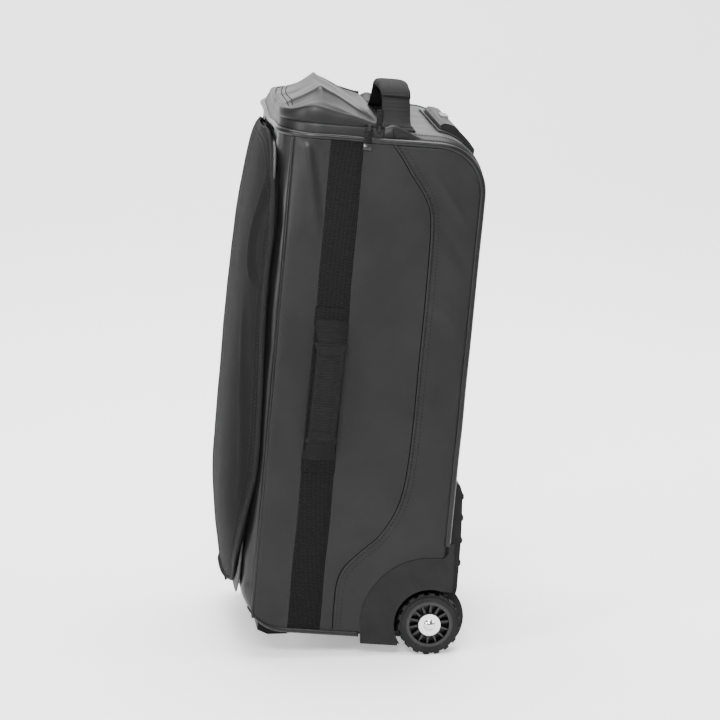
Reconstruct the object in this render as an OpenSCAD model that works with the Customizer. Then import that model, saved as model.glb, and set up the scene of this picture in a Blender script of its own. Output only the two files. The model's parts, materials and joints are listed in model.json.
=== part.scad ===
// Two-ball wheeled bowling bag: inline ball bays, a shoe bay on top, a front
// door that carries a pocket, and a two-stage pull handle.
// Millimetres, +Z up. X runs along the wheel axles, -Y is the front (door) and
// +Y is the back (pull handle and wheels). The bag stands on its two wheels
// and a front foot, leaning back, on the plane z = 0.
// Bag coordinates inside bag(): origin on the wheel axis, z along the bag.

/* [Body] */
// Width across the side panels
body_w = 300; // [296:1:304]
// Front face, ahead of the wheel axis
front_d = 229; // [228:0.5:231]
// Height of the side panels above the wheel axis
side_h = 574; // [572:1:576]
// How far the bag leans back
lean = 5.3; // [4.5:0.1:6]
// Radius of the front upright corners
corner_r = 16; // [16:1:17]
// Thickness of the sewn side panels
side_t = 4; // [3:0.5:4]

/* [Wheels] */
// Tyre radius over the lugs
wheel_r = 38; // [37:0.5:38.5]
// Tyre width
wheel_w = 26; // [24:1:26]
// Lugs on each shoulder of the tyre
lugs = 18; // [14:1:22]
// Spokes in each wheel
spokes = 14; // [10:1:16]
// Axle radius
axle_r = 4; // [3.9:0.1:4]

/* [Pull handle] */
// Travel of each handle stage
stage_travel = 210; // [150:10:220]
// Distance from the middle to each tube
tube_x = 62; // [60:1:64]
// Height of the grip's top above the wheel axis
grip_top = 594; // [593:0.5:594.5]

/* [Straps] */
// Width of the side webbing
web_w = 40; // [36:1:42]
// Standoff of the side handle from the panel
handle_gap = 18; // [16:1:20]
// Height of the top handle above the deck
top_handle_h = 38; // [36:1:40]

/* [Balls] */
// Diameter of the ball that each bay is made for
ball_d = 217; // [216:0.5:218]

/* [Hidden] */
$fn = 64;

hw = body_w / 2;
fy = -front_d;          // front face
by = 12;                // back face
bz = -19;               // underside
fr = 55;                // front-bottom corner radius
tr = 55;                // back-top corner radius
deck_z = 586;           // outside of the top deck
lid_z = 592;            // zip line of the lid
lid_y = -108;           // hinge line of the lid
well_r = 42.6;          // wheel well
hub_x = hw - 21;        // inner face of the tyre
tube_y = 3.3;           // centre of the handle tubes
y_shift = 91;           // puts the origin under the middle of the part
web_y = -151;           // centre line of the side webbing
h_lo = 190;             // lower end of the side handle
h_hi = 364;             // upper end of the side handle

colour_shell = [0.13, 0.13, 0.14];
colour_web = [0.06, 0.06, 0.065];
colour_trim = [0.05, 0.05, 0.055];
colour_plastic = [0.09, 0.09, 0.095];
colour_alu = [0.75, 0.76, 0.78];
colour_foam = [0.25, 0.25, 0.27];

// ---- helpers ----
function arc(cx, cy, r, a0, a1, n = 10) = [for (i = [0:n]) let (a = a0 + (a1 - a0) * i / n) [cx + r * cos(a), cy + r * sin(a)]];
function rr(w, h, r, n = 5) = concat(arc(w/2 - r, h/2 - r, r, 0, 90, n), arc(-w/2 + r, h/2 - r, r, 90, 180, n),
  arc(-w/2 + r, -h/2 + r, r, 180, 270, n), arc(w/2 - r, -h/2 + r, r, 270, 360, n));
// side outline of the body, inset by d, up to height zt
function outline(d, zt, r) = concat(
  arc(fy + fr, bz + fr, fr - d, 180, 270, 10),
  arc(by - 20, bz + 20, 20 - d, 270, 360, 6),
  arc(by - r, zt - r + d, r - d, 0, 90, 12),
  [[fy + d, zt]]);
function floor_z(y) = (y * sin(lean) - wheel_r) / cos(lean);

module bag() translate([0, y_shift, wheel_r]) rotate([-lean, 0, 0]) children();
module along_x(x0, x1) translate([x0, 0, 0]) rotate([90, 0, 90]) linear_extrude(x1 - x0) children();
module along_y(y0, y1) translate([0, y1, 0]) rotate([90, 0, 0]) linear_extrude(y1 - y0) children();
module box3(a, b) translate(a) cube([b[0] - a[0], b[1] - a[1], b[2] - a[2]]);
module side(s) { if (s > 0) children(); else mirror([1, 0, 0]) children(); }
module both() { children(); mirror([1, 0, 0]) children(); }
module rod_x(x0, x1, r, y = 0, z = 0) translate([x0, y, z]) rotate([0, 90, 0]) cylinder(h = x1 - x0, r = r);
module tube2d(w, h, r, t) difference() { polygon(rr(w, h, r)); polygon(rr(w - 2*t, h - 2*t, max(0.5, r - t))); }
module wells() both() rod_x(hw - 30, hw + 12, 46.5);

// ---- sewn body ----
module side_panel(s) color(colour_shell) bag() side(s) difference() {
  along_x(hw - side_t, hw) polygon(concat(
    arc(fy + fr, bz + fr, fr - 3.5, 180 + 50.4, 270, 8),
    arc(by - 23, bz + 23, 19.5, 270, 360, 6),
    arc(by - 55, side_h - 52, 51.7, 0, 90, 12),
    [[fy + corner_r + 0.3, side_h]]));
  rod_x(hw - 30, hw + 12, 46.5);
}
module front_panel() color(colour_shell) bag() difference() {
  translate([0, 0, bz + fr + 0.2]) linear_extrude(side_h - bz - fr - 0.2) polygon(concat(
    arc(hw - corner_r, fy + corner_r, corner_r, 0, -90, 8), arc(-hw + corner_r, fy + corner_r, corner_r, -90, -180, 8),
    arc(-hw + corner_r, fy + corner_r, corner_r - 3, -180, -90, 8), arc(hw - corner_r, fy + corner_r, corner_r - 3, -90, 0, 8)));
  along_y(fy - 5, fy + 8) translate([0, 280.5]) polygon(rr(228, 529, 34, 8));
}
module bottom_panel() color(colour_shell) bag() difference() {
  along_x(-hw + side_t + 0.4, hw - side_t - 0.4) polygon(concat(
    arc(fy + fr, bz + fr, fr, 180, 270, 12), arc(by - 20, bz + 20, 20, 270, 330, 5),
    arc(by - 20, bz + 20, 17.5, 330, 270, 5), arc(fy + fr, bz + fr, fr - 2.5, 270, 180, 12)));
  wells();
  along_y(fy - 5, fy + 40) translate([0, 280.5]) polygon(rr(228, 529, 34, 8));
}
module back_panel() color(colour_shell) bag() difference() {
  box3([-hw + side_t + 0.5, by - 2.5, 12], [hw - side_t - 0.5, by, deck_z - tr - 0.4]);
  wells();
}
module top_deck() color(colour_shell) bag() difference() {
  along_x(-hw + side_t + 1, hw - side_t - 1) polygon(concat(
    [[lid_y + 1, deck_z - 2.5], [lid_y + 1, deck_z]], arc(by - tr, deck_z - tr, tr, 90, 0, 14),
    arc(by - tr, deck_z - tr, tr - 2.5, 0, 90, 14)));
  box3([-96, -40, 500], [96, by + 5, 600]);
}
// upright band between the top piping and the lid's zip
module top_collar() color(colour_shell) bag() difference() {
  translate([0, 0, side_h + 8.6]) linear_extrude(lid_z - side_h - 9.2) polygon(concat(
    [[hw - 5, lid_y]], arc(hw - corner_r, fy + corner_r, corner_r - 5, 0, -90, 8), arc(-hw + corner_r, fy + corner_r, corner_r - 5, -90, -180, 8), [[-hw + 5, lid_y]],
    [[-hw + 7, lid_y]], arc(-hw + corner_r, fy + corner_r, corner_r - 7, -180, -90, 8), arc(hw - corner_r, fy + corner_r, corner_r - 7, -90, 0, 8), [[hw - 7, lid_y]]));
}
// thick welt: round the front, along the top edge, round the back-top corner and down; a second run follows the bottom edge
module edge_piping(s) color(colour_trim) bag() side(s) union() {
  zt = side_h + 0.3;
  translate([0, 0, zt]) linear_extrude(6.8) polygon(concat([[0.3, fy - 3.8]], arc(hw - corner_r, fy + corner_r, corner_r + 3.8, -90, 0, 10), [[hw + 3.8, -150], [hw - 3, -150]],
    arc(hw - corner_r, fy + corner_r, corner_r - 3, 0, -90, 10), [[0.3, fy + 3]]));
  along_x(hw - 3, hw + 3.8) polygon(concat([[-151, zt], [-151, zt + 6.8]], arc(by - 55, side_h - 52, 59.1, 90, 0, 14), [[by + 4.1, 102], [by - 2.7, 102]], arc(by - 55, side_h - 52, 52.3, 0, 90, 14)));
  along_x(hw + 0.3, hw + 5) polygon(concat(arc(fy + fr, bz + fr, fr + 1, 236, 270, 8), [[-88, bz - 1], [-88, bz + 4.5]], arc(fy + fr, bz + fr, fr - 4.5, 270, 236, 8)));
}
module front_seam_piping() color(colour_trim) bag() both() translate([hw + 1.4, fy + corner_r - 1, 16]) cylinder(h = side_h - 17, r = 1.3);
// stitched-on wear panel behind the curved seam
module side_overlays() color(colour_shell) bag() both() difference() {
  along_x(hw + 0.1, hw + 1.3) polygon(concat(
    [[-98, side_h - 4]], arc(-96, 478, 54, 52, 0, 8), arc(-96, 198, 54, 0, -50, 8), arc(-28, 40, 88, 148, 178, 6), [[-116, bz + 6]], [[-86.5, bz + 6]],
    [[by - 6, bz + 6]], arc(by - 55, side_h - 52, 48, 0, 90, 10)));
  rod_x(hw - 5, hw + 12, 85.5);
  box3([hw - 1, -20, -30], [hw + 5, 20, 85.5]);
  box3([hw - 1, -90, -30], [hw + 5, 20, 10]);
}
// side straps, and the two patches that the top handle is sewn to
module body_webbing() color(colour_web) bag() both() union() {
  box3([hw + 0.1, web_y - web_w/2, bz + 6], [hw + 1.5, web_y + web_w/2, side_h - 4]);
  for (z = [h_lo - 12, h_hi + 0.6]) box3([hw + 1.5, web_y - web_w/2, z], [hw + 2.6, web_y + web_w/2, z + 11.4]);
  box3([84, -105, deck_z + 0.1], [120, -69, deck_z + 1.6]);
}

// ---- stiffeners and foam ----
module base_board() color(colour_plastic) bag() difference() {
  box3([-hw + side_t + 1, fy + fr + 3, bz + 3.2], [hw - side_t - 1, -9, bz + 6]);
  wells();
}
module back_board() color(colour_plastic) bag() box3([-112, -5.2, 20], [112, -3.4, 530]);
module dish(zc) translate([0, fy + 3 + ball_d/2 + 1.5, zc]) sphere(r = ball_d/2 + 0.6);
module ball_cup_lower() color(colour_foam) bag() difference() {
  along_x(-112, 112) polygon(concat(arc(fy + fr, bz + fr, 51.6, 203, 248, 8), [[-9, bz + 6.6], [-9, 16]]));
  dish(8 + ball_d/2);
}
module ball_divider() color(colour_foam) bag() difference() {
  box3([-hw + side_t + 1.5, -218, 235], [hw - side_t - 1.5, -5.8, 251]);
  dish(243 + ball_d/2);
}
module shoe_shelf() color(colour_foam) bag() box3([-hw + side_t + 1.5, -218, 470], [hw - side_t - 1.5, -5.8, 476]);

// ---- pull handle ----
module tubes(w, h, t, z0, z1) both() translate([tube_x, tube_y, z0]) linear_extrude(z1 - z0) tube2d(w, h, 2.6, t);
module trolley_outer_tubes() color(colour_alu) bag() tubes(26, 11.8, 1, 52, 531);
module trolley_middle_tubes() color(colour_alu) bag() tubes(23.4, 9.2, 1, 60, 546.8);
module trolley_inner_tubes() color(colour_alu) bag() tubes(20.8, 6.6, 1, 70, 559.5);
module trolley_base_bracket() color(colour_plastic) bag() union() {
  box3([-84, -3, 24], [84, 9.2, 51.8]);
  both() translate([tube_x, tube_y, 51.7]) linear_extrude(6) polygon(rr(23.4, 9.2, 2));
}
module trolley_middle_collars() color(colour_plastic) bag() both() translate([tube_x, tube_y, 540]) difference() {
  linear_extrude(7) polygon(rr(28, 13, 3));
  translate([0, 0, -1]) linear_extrude(10) polygon(rr(23.6, 9.4, 2.6));
}
// moulded tray let into the back-top corner
module trolley_bezel() color(colour_plastic) bag() difference() {
  along_x(-93.5, 93.5) polygon(concat([[-38, 531.6]], [[-38, 560]], arc(by - tr, deck_z - tr, tr + 1.6, 85, 2, 14), [[by + 1.4, 531.6]]));
  both() translate([tube_x, tube_y, 520]) linear_extrude(100) polygon(rr(24.4, 10.2, 2.6));
  both() translate([tube_x, tube_y, 539.4]) linear_extrude(100) polygon(rr(30, 14, 3.4));
  both() box3([46.6, -24.5, 557], [77.4, -3, 620]);
  box3([-78, -35.6, 575.2], [78, -4, 620]);
  box3([-45, -35, 557], [45, -6, 620]);
  // hollow underside
  box3([-42, -36, 520], [42, 9, 554]);
  both() box3([80, -35, 520], [91, 10, 554]);
}
gt = grip_top;
module grip_bar() polygon([[-8, 577.5], [-6.5, gt - 11], [-17, gt - 2.2], [-24, gt - 0.3], [-30, gt], [-34, gt - 3], [-34.4, gt - 9], [-30, 577.5]]);
module yoke_leg(d) polygon([[-23 - d, 584 - d], [-23 - d, 588 + d], [-17, 588 + d], [5.2 + d, 566.5 + d], [5.2 + d, 562.5 - d], [1.4, 562.5 - d]]);
module trolley_grip() color(colour_plastic) bag() difference() {
  union() {
    along_x(-49, 49) grip_bar();
    both() along_x(48.5, 75.5) polygon([[-3.1, 547.6], [9.5, 547.6], [9.5, 566], [1.5, gt - 18.5], [-17, gt - 2.2], [-24, gt - 0.3], [-30, gt], [-34, gt - 3], [-34.4, gt - 9], [-30, 577.5], [-23.5, 576.2], [-12.5, 565], [-3.1, 559]]);
  }
  // sockets for the inner tubes
  both() translate([tube_x, tube_y, 540]) linear_extrude(21.1) polygon(rr(21, 6.8, 2.6));
  // button pocket, and the channels that the release yoke slides in
  translate([0, -21, 583]) linear_extrude(30) polygon(rr(33, 10.2, 3));
  box3([-66, -23.8, 580.6], [66, -18.2, 588.8]);
  both() along_x(59.2, 64.8) union() { yoke_leg(0.8); translate([0, -3.2]) yoke_leg(0.4); }
  both() translate([tube_x, tube_y, 557]) cylinder(h = 8, r = 2.3);
  translate([0, -21, 578.9]) cylinder(h = 3, r = 2.5);
}
module release_button() color([0.35, 0.35, 0.37]) bag() translate([0, -21, 588.1]) linear_extrude(gt - 588.1 + 1) polygon(rr(32, 9.2, 3));
module release_rods() color(colour_alu) bag() union() {
  box3([-64, -23, 584], [64, -19, 588]);
  both() along_x(60, 64) yoke_leg(0);
  both() translate([tube_x, tube_y, 80]) cylinder(h = 485, r = 1.6);
}
// return spring under the yoke: a wire swept round a helix
function ring(p, u, v, r, n) = [for (k = [0:n-1]) p + r * cos(360*k/n) * u + r * sin(360*k/n) * v];
module helix(r, wr, turns, h, steps) {
  n = 6;
  pts = [for (i = [0:steps]) let (a = 360*turns*i/steps, p = [r*cos(a), r*sin(a), h*i/steps]) for (q = ring(p, [cos(a), sin(a), 0], [0, 0, 1], wr, n)) q];
  polyhedron(pts, concat([[for (k = [0:n-1]) k]], [for (i = [0:steps-1]) for (k = [0:n-1]) [i*n + k, (i+1)*n + k, (i+1)*n + (k+1)%n, i*n + (k+1)%n]], [[for (k = [n-1:-1:0]) steps*n + k]]));
}
module release_spring() color(colour_alu) bag() translate([0, -21, 579.3]) helix(1.7, 0.3, 3, 4.3, 30);

// ---- wheels ----
module wheel_housing(s) color(colour_plastic) bag() side(s) difference() {
  union() {
    along_x(hw + 0.2, hw + 3) polygon(concat([[-81, -29], [-84, 2]], arc(0, -2, 84, 172, 98, 10), [[10, 82], [15, 88], [15, 100], [21, 100], [24, 60], [24, 20], [4, -29]]));
    rod_x(hw - 29, hw + 0.3, 45.4);
    rod_x(hw - 34, hw - 28.9, 10);
  }
  rod_x(hw - 26, hw + 12, well_r);
  rod_x(hw - 40, hw, axle_r + 0.02);
  // open at the back and below, where the wheel stands out
  box3([hw - 31, -36, -60], [hw + 4, 60, -26.5]);
  box3([hw - 28.8, by - 2, -60], [hw + 4, 60, 41]);
  box3([hw - 28.8, -60, -60], [hw + 0.1, 60, bz + 0.2]);
}
module axle(s) color(colour_alu) bag() side(s) translate([hw, 0, 0]) rotate([0, 90, 0]) rotate_extrude() polygon(concat(
  [[0, -38], [axle_r, -38], [axle_r, 5.2], [13.2, 5.2], [13.2, 6.6], [7, 6.6]], arc(0, 2.4, 8.2, 31, 90, 8)));
module tyre(s) color([0.07, 0.07, 0.07]) bag() side(s) difference() {
  union() {
    rod_x(hub_x + 2, hub_x + wheel_w - 2, wheel_r - 2.2);
    rod_x(hub_x, hub_x + wheel_w, wheel_r - 4.5);
    for (i = [0:lugs-1]) {
      rotate([360*i/lugs, 0, 0]) box3([hub_x + wheel_w/2 + 1, -3.3, wheel_r - 6], [hub_x + wheel_w - 2, 3.3, wheel_r - 0.16]);
      rotate([360*(i + 0.5)/lugs, 0, 0]) box3([hub_x + 2, -3.3, wheel_r - 6], [hub_x + wheel_w/2 - 1, 3.3, wheel_r - 0.16]);
    }
  }
  rod_x(hub_x - 1, hub_x + wheel_w + 1, 28);
}
module rim(s) color(colour_plastic) bag() side(s) difference() {
  union() {
    difference() { rod_x(hub_x + 1, hub_x + wheel_w - 0.5, 27.97); rod_x(hub_x, hub_x + wheel_w + 1, 24); }
    rod_x(hub_x + 1, hub_x + wheel_w - 0.5, 14);
    rod_x(hub_x + 11, hub_x + 13, 25);
    for (i = [0:spokes-1]) rotate([360*i/spokes, 0, 0]) along_x(hub_x + 3, hub_x + wheel_w - 2.5) polygon([[-1.6, 13.6], [1.6, 13.6], [0.7, 24.4], [-0.7, 24.4]]);
  }
  rod_x(hub_x - 1, hub_x + wheel_w + 1, 11.01);
}
module bearings(s) color(colour_alu) bag() side(s) for (x = [hub_x + 1.5, hub_x + wheel_w - 8.5]) difference() {
  rod_x(x, x + 7, 11);
  rod_x(x - 1, x + 8, axle_r + 0.03);
}
module screw_x(x, y, z) { rod_x(x, x + 1.4, 3.6, y, z); rod_x(x - 6, x + 0.1, 1.6, y, z); }
module housing_fasteners() color(colour_alu) bag() both() union() {
  // nut on the axle end and the plate screws
  difference() { translate([hw - 38, 0, 0]) rotate([0, 90, 0]) cylinder(h = 3.8, r = 7, $fn = 6); rod_x(hw - 40, hw - 30, axle_r + 0.02); }
}
// back face of the skid plate, and its row of small ribs
function skid_y(z) = lookup(z, [[20, 32], [36, 35], [70, 34.5], [96, 34], [124, 32.5], [152, 30.5]]);
module skid_plate() color(colour_plastic) bag() difference() {
  along_x(-118, 118) polygon(concat([[by + 0.4, 172], [20, 170], [26.5, 164.5]],
    [for (z = [151, 125, 97, 69]) for (q = [[4, 0], [2, 1.7], [-2, 1.7], [-4, 0]]) [skid_y(z + q[0]) + q[1], z + q[0]]],
    [[35, 36], [32, 20], [by + 0.4, 16]]));
  along_x(-115, 115) polygon([[by, 167], [19, 166], [25, 160], [28, 150], [30, 122], [31.5, 94], [32, 70], [32.5, 38], [30.5, 23], [by, 20]]);
  for (x = [-96, 96], z = [46, 138]) translate([x, by, z]) rotate([-90, 0, 0]) cylinder(h = 40, r = 2);
}
module skid_plate_screws() color([0.2, 0.2, 0.2]) bag() for (x = [-96, 96], z = [46, 138]) translate([x, skid_y(z) + 0.6, z]) rotate([-90, 0, 0]) {
  translate([0, 0, -18]) cylinder(h = 18, r = 1.9);
  translate([0, 0, -0.2]) cylinder(h = 1.5, r = 4);
}
module front_foot() color(colour_trim) bag() difference() {
  along_x(-46, 46) polygon([[-196, bz - 0.3], [-160, bz - 0.3], [-158, floor_z(-158)], [-182, floor_z(-182)], [-195, floor_z(-195) + 6]]);
  for (x = [-32, 32]) translate([x, -172, -80]) cylinder(h = 80, r = 2.1);
  for (x = [-32, 32]) translate([x, -172, -80]) cylinder(h = 38, r = 4.6);
}
module foot_screws() color(colour_alu) bag() for (x = [-32, 32]) {
  translate([x, -172, -44]) cylinder(h = 2, r = 4);
  translate([x, -172, -42.1]) cylinder(h = 22, r = 1.9);
}

// ---- top lid and its zip ----
module lid_profile(d) polygon([[fy + 5 + d, lid_z - 3], [fy + 5 + d, 603 - d], [fy + 14 + d*0.6, 613 - d], [-184, 620.5 - d], [-150, 614 - d], [lid_y - 2 - d, 601 - d], [lid_y - 2 - d, lid_z - 3]]);
module lid_panel() color(colour_shell) bag() difference() {
  intersection() {
    along_x(-hw + 5, hw - 5) lid_profile(0);
    translate([0, 0, lid_z + 0.6]) linear_extrude(50) polygon(concat([[hw - 5, lid_y]], arc(hw - corner_r, fy + corner_r, corner_r - 5, 0, -90, 8), arc(-hw + corner_r, fy + corner_r, corner_r - 5, -90, -180, 8), [[-hw + 5, lid_y]]));
  }
  intersection() {
    along_x(-hw + 7.2, hw - 7.2) lid_profile(2.2);
    translate([0, 0, 500]) linear_extrude(150) polygon(concat([[hw - 7.2, lid_y]], arc(hw - corner_r, fy + corner_r, corner_r - 7.2, 0, -90, 8), arc(-hw + corner_r, fy + corner_r, corner_r - 7.2, -90, -180, 8), [[-hw + 7.2, lid_y]]));
  }
}
module u_band(d0, d1, z0, z1, y1) translate([0, 0, z0]) linear_extrude(z1 - z0) polygon(concat(
    [[hw - d0, y1]], arc(hw - corner_r, fy + corner_r, corner_r - d0, 0, -90, 8), arc(-hw + corner_r, fy + corner_r, corner_r - d0, -90, -180, 8), [[-hw + d0, y1], [-hw + d1, y1]],
    arc(-hw + corner_r, fy + corner_r, corner_r - d1, -180, -90, 8), arc(hw - corner_r, fy + corner_r, corner_r - d1, -90, 0, 8), [[hw - d1, y1]]));
module lid_zip_lower_tape() color(colour_trim) bag() u_band(3.9, 4.8, lid_z - 7, lid_z - 0.3, lid_y - 3);
module lid_zip_upper_tape() color(colour_trim) bag() u_band(3.9, 4.8, lid_z + 0.9, lid_z + 8, lid_y - 3);
module zip_garages() color(colour_shell) bag() both() box3([hw - 4.8, lid_y + 1, deck_z - 3], [hw - 2.8, -70, deck_z + 5]);
module rear_zip() color(colour_trim) bag() both() along_x(hw - 4.6, hw - 3.2) polygon(concat(
    [[-69, deck_z - 1], [-69, deck_z - 6]], arc(by - tr, deck_z - tr, tr - 6, 90, 12, 10), arc(by - tr, deck_z - tr, tr - 1, 12, 90, 10)));
// slider with the bail that its pull hangs in
module zip_slider(y) translate([hw, y, lid_z]) union() {
  translate([-3.4, -5, -3.4]) cube([2.2, 10, 6.8]);
  difference() {
    translate([-1.4, -1.5, -3.4]) cube([9, 3, 7]);
    translate([0.6, -2, -2]) cube([5.8, 4, 4.2]);
  }
}
module zip_pull(y, w, l) translate([hw + 4.2, y, lid_z]) difference() {
  translate([0, -w/2, -l]) cube([1.8, w, l + 0.9]);
  translate([-1, -2.1, -4.8]) cube([4, 4.2, 4.1]);
}
module lid_zip_slider_front() color(colour_plastic) bag() zip_slider(-128);
module lid_zip_slider_rear() color(colour_plastic) bag() zip_slider(-116.4);
module zip_pull_front() color(colour_web) bag() zip_pull(-128, 9, 25);
module zip_pull_rear() color(colour_web) bag() translate([0, 0, 2*lid_z + 0.2]) mirror([0, 0, 1]) zip_pull(-116.4, 7.4, 23);

// ---- front door with its pocket ----
pocket = [[-243.5, 566], [-246, 545], [-249.5, 515], [-254, 472], [-258, 417], [-260.5, 349], [-261.5, 286], [-261.5, 174], [-259, 123], [-252, 73], [-245.5, 35], [-241, 14], [-236, 3]];
module door_zip_tape() color(colour_trim) bag() difference() {
  along_y(fy - 0.6, fy - 0.1) translate([0, 301]) polygon(rr(246, 528, 40, 8));
  along_y(fy - 3, fy + 3) translate([0, 301]) polygon(rr(232, 516, 36, 8));
}
module door_panel() color(colour_shell) bag() along_y(fy - 3.4, fy - 1) translate([0, 286]) polygon(rr(270, 548, 40, 8));
module pocket_outline(d) translate([0, 284.5]) polygon(rr(2*hw - 4 - 2*d, 563 - 2*d, 95 - d, 10));
module pocket_cover() color(colour_web) bag() intersection() {
  along_x(-hw + 2, hw - 2) polygon(concat(pocket, [for (k = [len(pocket)-1:-1:0]) [pocket[k][0] + 2, max(pocket[k][1], 3.2) + (k == len(pocket)-1 ? 2 : 0)]]));
  along_y(-270, -225) pocket_outline(0);
}
// bottom and side walls of the pocket, and the flaps that close over the front corners
module pocket_gussets() color(colour_web) bag() union() {
  intersection() {
    along_x(-hw, hw) polygon(concat([[fy - 3.6, 3.6], [fy - 3.6, 505], [-248.2, 505]], [for (p = pocket) if (p[1] > 5 && p[1] < 505) [p[0] + 2.4, p[1]]], [[-233.3, 3.6]]));
    along_y(-270, -225) difference() { pocket_outline(0.2); pocket_outline(2); }
  }
  both() intersection() {
    along_x(hw - 4, hw - 2.2) polygon([[fy + 4.4, 60], [fy - 4, 12], [fy - 8, 12], [fy - 8, 505], [fy + 4.4, 505]]);
    along_y(-270, -220) pocket_outline(0.2);
  }
}
module door_tab() color(colour_web) bag() box3([-14, -240, -12], [14, -237.4, 2.8]);

// ---- handles ----
th = top_handle_h;
module strap_band(t, inset) polygon([[-98 + inset, 0.4], [-92 + inset, 0.4], [-58, th - 9 - t], [-48, th - 3 - t], [48, th - 3 - t], [58, th - 9 - t], [92 - inset, 0.4], [98 - inset, 0.4],
   [63, th - 7], [50, th - 0.6], [-50, th - 0.6], [-63, th - 7]]);
module top_handle_strap() color(colour_web) bag() translate([0, -87, deck_z + 2]) intersection() {
  along_y(-17, 17) strap_band(0.2, 0);
  along_x(-120, 120) polygon([[-4, 0.3], [4, 0.3], [17, 13], [17, 60], [-17, 60], [-17, 13]]);
}
module top_handle_grip() color(colour_web) bag() translate([0, -87, deck_z + 2]) difference() {
  along_x(-46, 46) polygon(rr2(38, 12, 4, 0, th - 2));
  along_x(-47, 47) polygon(rr2(34.4, 3.2, 0.8, 0, th - 1.8));
}
function rr2(w, h, r, cx, cy) = [for (p = rr(w, h, r)) [p[0] + cx, p[1] + cy]];
module side_handle(s) color(colour_web) bag() side(s) translate([hw + 1.6, web_y, (h_lo + h_hi)/2]) {
  L = (h_hi - h_lo)/2;
  union() {
    intersection() {
      along_y(-web_w/2, web_w/2) polygon([[1.4, -L], [4.2, -L], [handle_gap + 1.5, -L + 26], [handle_gap + 3, -L + 40], [handle_gap + 3, L - 40], [handle_gap + 1.5, L - 26], [4.2, L], [1.4, L],
        [handle_gap - 1.5, L - 28], [handle_gap, L - 40], [handle_gap, -L + 40], [handle_gap - 1.5, -L + 28]]);
      translate([0, 0, -L - 1]) linear_extrude(2*L + 2) polygon([[1.3, -2.4], [1.3, 2.4], [11.5, web_w/2], [40, web_w/2], [40, -web_w/2], [11.5, -web_w/2]]);
    }
    // sewn sleeve over the strap
    difference() {
      translate([handle_gap + 1.5, 0, -L + 34]) linear_extrude(2*L - 68) polygon(rr(7, 34, 3));
      translate([handle_gap + 1.5, 0, -L + 33]) linear_extrude(2*L - 66) polygon(rr(3.2, 41, 0.4));
    }
  }
}

side_panel(1);  // side_panel_right
side_panel(-1);  // side_panel_left
front_panel();
bottom_panel();
back_panel();
top_deck();
top_collar();
edge_piping(1);  // edge_piping_right
edge_piping(-1);  // edge_piping_left
front_seam_piping();
side_overlays();
body_webbing();
base_board();
back_board();
ball_cup_lower();
ball_divider();
shoe_shelf();
trolley_bezel();
trolley_outer_tubes();
trolley_base_bracket();
wheel_housing(1);  // wheel_housing_right
wheel_housing(-1);  // wheel_housing_left
skid_plate();
housing_fasteners();
skid_plate_screws();
front_foot();
foot_screws();
axle(1);  // axle_right
axle(-1);  // axle_left
lid_zip_lower_tape();
zip_garages();
rear_zip();
door_zip_tape();
lid_zip_slider_rear();
lid_panel();
lid_zip_upper_tape();
door_panel();
pocket_cover();
pocket_gussets();
door_tab();
top_handle_strap();
top_handle_grip();
trolley_middle_tubes();
trolley_middle_collars();
trolley_inner_tubes();
trolley_grip();
release_button();
release_rods();
release_spring();
tyre(1);  // tyre_right
rim(1);  // rim_right
bearings(1);  // bearings_right
tyre(-1);  // tyre_left
rim(-1);  // rim_left
bearings(-1);  // bearings_left
side_handle(1);  // side_handle_right
side_handle(-1);  // side_handle_left
lid_zip_slider_front();
zip_pull_front();
zip_pull_rear();
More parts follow.
